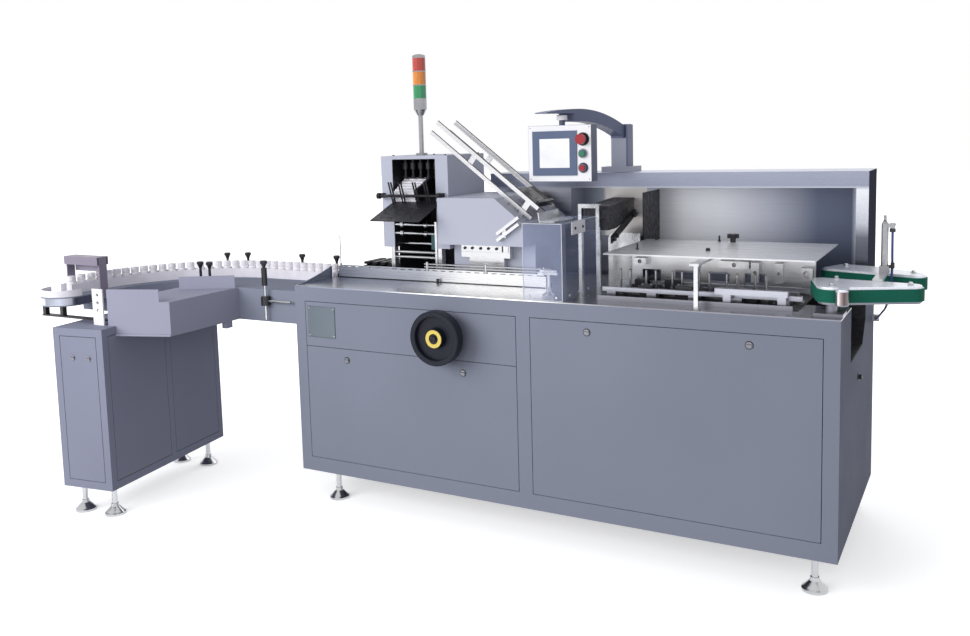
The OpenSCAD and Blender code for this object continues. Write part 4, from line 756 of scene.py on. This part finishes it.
makeHoodSheet("hoodFrontReflectionSheet", "hoodFrontSteel", hoodFrontReflectionSheet)
makeHoodSheet("hoodEndShadeSheet", "hoodEndPaintedShade", hoodEndShadeSheet)


def makeHoodRear(settings):
    makeHoodSheet("hoodRear", "rearSteel", settings)
    (x0, x1), (z0, z1) = settings["x"], settings["z"]
    pitch, inset = settings["pitch"], settings["inset"]
    bm = bmesh.new()
    for k in range(int((x1 - x0) // pitch) + 1):
        for z in (z0 + inset, z1 - inset):
            addRivet(bm, (x0 + inset + k * pitch, settings["y"][1], z), (0, 1, 0), settings["rivet"])
    addPiece("hoodRearRivets", bm, "brightSteel")


makeHoodRear(hoodRear)

portalPlate = {"low": (-1030, -258, 965), "high": (-830, -254, 1031)}


def makePortalPlate(settings):
    bm = bmesh.new()
    addBlock(bm, settings["low"], settings["high"], 0.8)
    addPiece("portalPlate", bm, "portalSheet")


makePortalPlate(portalPlate)

# painted shade: dark sheets on the walls and floor of the trough in the cabinet's right end, which lies in
# shadow
troughPaintedShade = {
    "x": (1902, 2149),
    "profile": [(237.4, 904), (237.4, 721.4), (549.4, 721.4), (628.6, 801), (628.6, 904)],
    "thick": 1.2,
    "back": ((1900.6, 240, 724), (1902, 548, 904)),
}


def makeTroughPaintedShade(settings):
    x0, x1 = settings["x"]
    bm = bmesh.new()
    verts = [bm.verts.new(at(x0, y, z)) for y, z in settings["profile"]]
    edges = [bm.edges.new(pair) for pair in zip(verts, verts[1:])]
    drawn = bmesh.ops.extrude_edge_only(bm, edges=edges)["geom"]
    moved = [part for part in drawn if isinstance(part, bmesh.types.BMVert)]
    bmesh.ops.translate(bm, vec=((x1 - x0) / 1000, 0, 0), verts=moved)
    bmesh.ops.recalc_face_normals(bm, faces=bm.faces)
    bmesh.ops.solidify(bm, geom=bm.faces[:], thickness=settings["thick"] / 1000)
    addBlock(bm, *settings["back"])
    addPiece("troughPaintedShade", bm, "darkMetal")


makeTroughPaintedShade(troughPaintedShade)
print("panel face, rail edges, hood sheets, portal and trough made")

camPlate = {
    "x": (630, 843),
    "z": (1037, 1070),
    "face": 322,
    "thick": 4,
    "screws": [645, 679, 718, 754, 791],
    "screwZ": 1052,
    "screw": (6, 5),
    "slot": (815, 821),
}


def makeCamPlate(settings):
    (x0, x1), (z0, z1) = settings["x"], settings["z"]
    face = settings["face"] - settings["thick"]
    bm = bmesh.new()
    addBlock(bm, (x0, face, z0), (x1, settings["face"] + 0.3, z1), 0.8)
    addPiece("camPlate", bm, "sheetSteel")
    bm = bmesh.new()
    for x in settings["screws"]:
        addScrew(bm, (x, face, settings["screwZ"]), front, *settings["screw"])
    x0, x1 = settings["slot"]
    addBlock(bm, (x0, face - 1.2, z0 + 2), (x1, face + 0.5, z1 - 2), 0.5)
    addPiece("camScrews", bm, "blackPlastic")


makeCamPlate(camPlate)

leafletDetail = {
    "strip": ((470, 338, 1036), (492, 343, 1108)),
    "roofScrews": [(278, 363), (400, 500), (548, 345), (250, 630), (548, 630)],
    "roof": 1434,
    "screw": (5, 4),
}


def makeLeafletDetail(settings):
    bm = bmesh.new()
    addBlock(bm, *settings["strip"], 1)
    addPiece("leafletStrip", bm, "tealPlastic")
    bm = bmesh.new()
    for x, y in settings["roofScrews"]:
        addScrew(bm, (x, y, settings["roof"]), up, *settings["screw"])
    addPiece("roofScrews", bm, "blackPlastic")


makeLeafletDetail(leafletDetail)

ledgeDetail = {
    "rod": (36, 279, 955),
    "rodLength": 138,
    "rodRadius": 2,
    "rodFoot": [(0, -0.5), (7, -0.5), (7, 5), (5, 8), (4, 14), (0, 14)],
    "stud": (544, 258, 910),
    "studProfile": [(0, -0.5), (9, -0.5), (9, 2), (5, 3), (5, 9), (7, 10), (7, 14), (5, 16), (0, 16)],
}


def makeLedgeDetail(settings):
    x, y, z = settings["rod"]
    bm = bmesh.new()
    addBar(bm, (x, y, z - 0.5), up, settings["rodLength"], settings["rodRadius"], 10)
    addTurned(bm, settings["rodFoot"], (x, y, z), up, 16)
    addPiece("pointerRod", bm, "machinedSteel")
    bm = bmesh.new()
    addTurned(bm, settings["studProfile"], settings["stud"], up, 16)
    addPiece("deckStud", bm, "blackPlastic")


makeLedgeDetail(ledgeDetail)

lineDetail = {
    "floor": ((1318, 106, 910), (2004, 416, 911.4)),
    "housings": [((1440, 174, 911), (1488, 216, 958)), ((1572, 174, 911), (1636, 216, 962)),
                 ((1763, 174, 911), (1856, 214, 934)), ((1895, 174, 911), (1938, 214, 936)),
                 ((1386, 282, 911), (1430, 326, 962)), ((1500, 282, 911), (1560, 326, 966))],
    "boss": (6, 11),
    "bossScrew": (5, 4),
    "lidScrew": (4, 4),
    "lidInset": 8,
}


def makeLineDetail(settings):
    bm = bmesh.new()
    addBlock(bm, *settings["floor"], 0.4)
    addPiece("lineFloor", bm, "darkMetal")
    bm = bmesh.new()
    for low, high in settings["housings"]:
        addBlock(bm, low, high, 3)
        middle = [(a + b) / 2 for a, b in zip(low, high)]
        addBar(bm, (middle[0], low[1] + 0.5, middle[2]), front, *settings["boss"], 20)
    addPiece("lineHousings", bm, "blackPlastic")
    bm = bmesh.new()
    for low, high in settings["housings"]:
        middle = [(a + b) / 2 for a, b in zip(low, high)]
        addScrew(bm, (middle[0], low[1] - 5, middle[2]), front, *settings["bossScrew"])
        for x in (low[0] + settings["lidInset"], high[0] - settings["lidInset"]):
            addScrew(bm, (x, middle[1], high[2]), up, *settings["lidScrew"])
    addPiece("lineScrews", bm, "machinedSteel")


makeLineDetail(lineDetail)
print("cam, leaflet, ledge and carton line details made")

outfeedStuds = {
    "top": 1005,
    "places": [(2102, 235), (2090, 549), (2320, 440), (2110, 80), (2331, 168)],
    "radius": 7,
}


def makeOutfeedStuds(settings):
    radius = settings["radius"]
    profile = [(0, -0.5), (radius + 4, -0.5), (radius + 4, 1.6), (radius, 2), (radius, 8),
               (radius - 1.5, 9.5), (0, 9.5)]
    bm = bmesh.new()
    for x, y in settings["places"]:
        addTurned(bm, profile, (x, y, settings["top"]), up, 12)
    addPiece("outfeedStuds", bm, "brightSteel")


makeOutfeedStuds(outfeedStuds)

portFittings = {
    "head": (2260, 350, 1152),
    "collar": (6.6, 9.5, 12),
    "cap": [(0, 0), (8.5, 0), (9.5, 1), (9.5, 6), (8, 7.5), (0, 7.5)],
    "capUp": 22,
    "foot": (2250, 350, 1036),
}


def makePortFittings(settings):
    x, y, z = settings["head"]
    bm = bmesh.new()
    addRing(bm, (x, y, z), up, *settings["collar"])
    addTurned(bm, settings["cap"], (x, y, z + settings["capUp"]), up, 16)
    x, y, z = settings["foot"]
    addBar(bm, (x - 5, y, z), (1, 0, 0), 22, 6, 6)
    addBar(bm, (x + 12, y, z - 6), up, 20, 6.5, 16)
    addPiece("portFittings", bm, "blackPlastic")


makePortFittings(portFittings)

drumBand = {"centre": (-930, -391), "radius": 100.4, "thick": 1.6, "z": (849, 879), "straight": 150}


def makeDrumBand(settings):
    x, y = settings["centre"]
    inner = settings["radius"]
    outer = inner + settings["thick"]
    z0, z1 = settings["z"]
    bm = bmesh.new()
    loop = [bm.verts.new(at(x + r, y, z)) for r, z in ((inner, z0), (outer, z0), (outer, z1), (inner, z1))]
    edges = [bm.edges.new((a, b)) for a, b in zip(loop, loop[1:] + loop[:1])]
    bmesh.ops.spin(bm, geom=loop + edges, cent=at(x, y, 0), axis=(0, 0, 1), angle=-math.pi, steps=48)
    bmesh.ops.holes_fill(bm, edges=bm.edges, sides=4)
    for side in (inner, -outer):
        addBlock(bm, (x + side, y, z0), (x + side + settings["thick"], y + settings["straight"], z1))
    addPiece("drumBand", bm, "drumSteel")


makeDrumBand(drumBand)
print("outfeed studs, port fittings and drum band made")

# the run and the leg are straight rows, and the bend is the quarter turn between them
bottleCaps = {
    "run": (390, 9, 309),
    "bend": (540, 20, -231),
    "leg": (-930, 160, 3),
    "foot": 896,
    "profile": [(0, 62.5), (16.8, 62.5), (18.3, 61), (18.3, 42), (17.2, 40.5), (0, 40.5)],
}


def makeBottleCaps(settings):
    length, number, y = settings["run"]
    places = [(-(k + 0.5) * length / number, y) for k in range(number)]
    radius, number, middle = settings["bend"]
    for k in range(number):
        angle = math.radians(90 + (k + 0.5) * 90 / number)
        places.append((-length + radius * math.cos(angle), middle + radius * math.sin(angle)))
    x, length, number = settings["leg"]
    places += [(x, middle - (k + 0.5) * length / number) for k in range(number)]
    bm = bmesh.new()
    for x, y in places:
        addTurned(bm, settings["profile"], (x, y, settings["foot"]), up, 14)
    addPiece("bottleCaps", bm, "bottleWhite")


makeBottleCaps(bottleCaps)

idlerSleeve = {"place": (2150, 14, 957), "inner": 18.8, "outer": 20.2, "height": 41}


def makeIdlerSleeve(settings):
    x, y, z = settings["place"]
    bm = bmesh.new()
    addRing(bm, (x, y, z), up, settings["inner"], settings["outer"], settings["height"])
    addPiece("idlerSleeve", bm, "rollerSteel")


makeIdlerSleeve(idlerSleeve)

swivelSleeve = {"place": (1040, 430, 1562), "inner": 19.8, "outer": 21.6, "height": 19}


def makeSwivelSleeve(settings):
    bm = bmesh.new()
    addRing(bm, settings["place"], up, settings["inner"], settings["outer"], settings["height"])
    addPiece("swivelSleeve", bm, "panelWhite", "panel")


makeSwivelSleeve(swivelSleeve)

# the dark strip at the ledge's foot is painted shadow in the gap between ledge and deck
ledgeComb = {"x": (40, 1020), "y": (281, 287), "z": (954.9, 957.4, 962), "pitch": 40, "tooth": 18,
             "inset": 8, "gapShadowY": (267.6, 270.2), "gapShadowZ": (909.9, 913.2)}


def makeLedgeComb(settings):
    (x0, x1), (y0, y1), (z0, z1, z2) = settings["x"], settings["y"], settings["z"]
    bm = bmesh.new()
    addBlock(bm, (x0, y0, z1 - 0.2), (x1, y1, z2), 0.5)
    for k in range(int((x1 - x0) // settings["pitch"])):
        x = x0 + settings["inset"] + k * settings["pitch"]
        addBlock(bm, (x, y0, z0), (x + settings["tooth"], y1, z1))
    addPiece("ledgeComb", bm, "ledgeSteel")
    # dark strip of painted shadow along the ledge's foot
    bm = bmesh.new()
    (y0, y1), (z0, z1) = settings["gapShadowY"], settings["gapShadowZ"]
    addBlock(bm, (x0 - settings["inset"], y0, z0), (x1 + settings["inset"], y1, z1), 0.4)
    addPiece("ledgeGapShadow", bm, "darkMetal")


makeLedgeComb(ledgeComb)
print("caps, sleeves and ledge comb made")

guardEdges = {
    "x": (1057, 1214),
    "y": (8, 380),
    "z": (910, 1190),
    "round": 46,
    "wide": 3,
    "proud": 0.6,
    "sideScrews": (60, 150, 240),
    "frontInset": 24,
    "screwUp": 14,
    "screw": (4.5, 4),
}


def makeGuardEdges(settings):
    (x0, x1), (y0, y1), (z0, z1) = settings["x"], settings["y"], settings["z"]
    wide, proud = settings["wide"], settings["proud"]
    back = y1 - settings["round"]
    bm = bmesh.new()
    for x in (x0, x1 - wide):
        addBlock(bm, (x, y0 - proud, z0), (x + wide, y0 + wide, z1), 0.6)
        addBlock(bm, (x, y0, z1 - wide + proud), (x + wide, back, z1 + proud), 0.6)
    addBlock(bm, (x0, y0 - proud, z1 - wide + proud), (x1, y0 + wide, z1 + proud), 0.6)
    addBlock(bm, (x0, y0 - proud, z0 + 0.2), (x1, y0 + wide, z0 + wide), 0.6)
    addBlock(bm, (x1 - wide, y1 - wide, z0 + 0.2), (x1 + proud, y1 + 0.3, z1 - settings["round"]), 0.6)
    addPiece("guardEdges", bm, "clearEdge")
    bm = bmesh.new()
    screwZ = z0 + settings["screwUp"]
    for step in settings["sideScrews"]:
        addScrew(bm, (x1, y0 + step, screwZ), (1, 0, 0), *settings["screw"])
    for x in (x0 + settings["frontInset"], x1 - settings["frontInset"]):
        addScrew(bm, (x, y0, screwZ), front, *settings["screw"])
    addPiece("guardScrews", bm, "brightSteel")


makeGuardEdges(guardEdges)

guardPlate = {
    "low": (1217.8, 95, 1143),
    "high": (1219, 217, 1187),
    "screws": [120, 192],
    "screwZ": 1165,
    "screw": (5.5, 3),
}


def makeGuardPlate(settings):
    bm = bmesh.new()
    addBlock(bm, settings["low"], settings["high"], 0.4)
    addPiece("guardPlate", bm, "whitePlastic")
    bm = bmesh.new()
    for y in settings["screws"]:
        addScrew(bm, (settings["high"][0], y, settings["screwZ"]), (1, 0, 0), *settings["screw"])
    addPiece("guardPlateScrews", bm, "darkMetal")


makeGuardPlate(guardPlate)

endLatch = {
    "place": (2150, 436, 629),
    "profile": [(0, -0.5), (13, -0.5), (13, 2.5), (9, 4), (9, 12), (7, 14), (0, 14)],
}


def makeEndLatch(settings):
    bm = bmesh.new()
    addTurned(bm, settings["profile"], settings["place"], (1, 0, 0), 20)
    addPiece("endLatch", bm, "blackPlastic")


makeEndLatch(endLatch)
print("guard edges, guard plate and latch made")
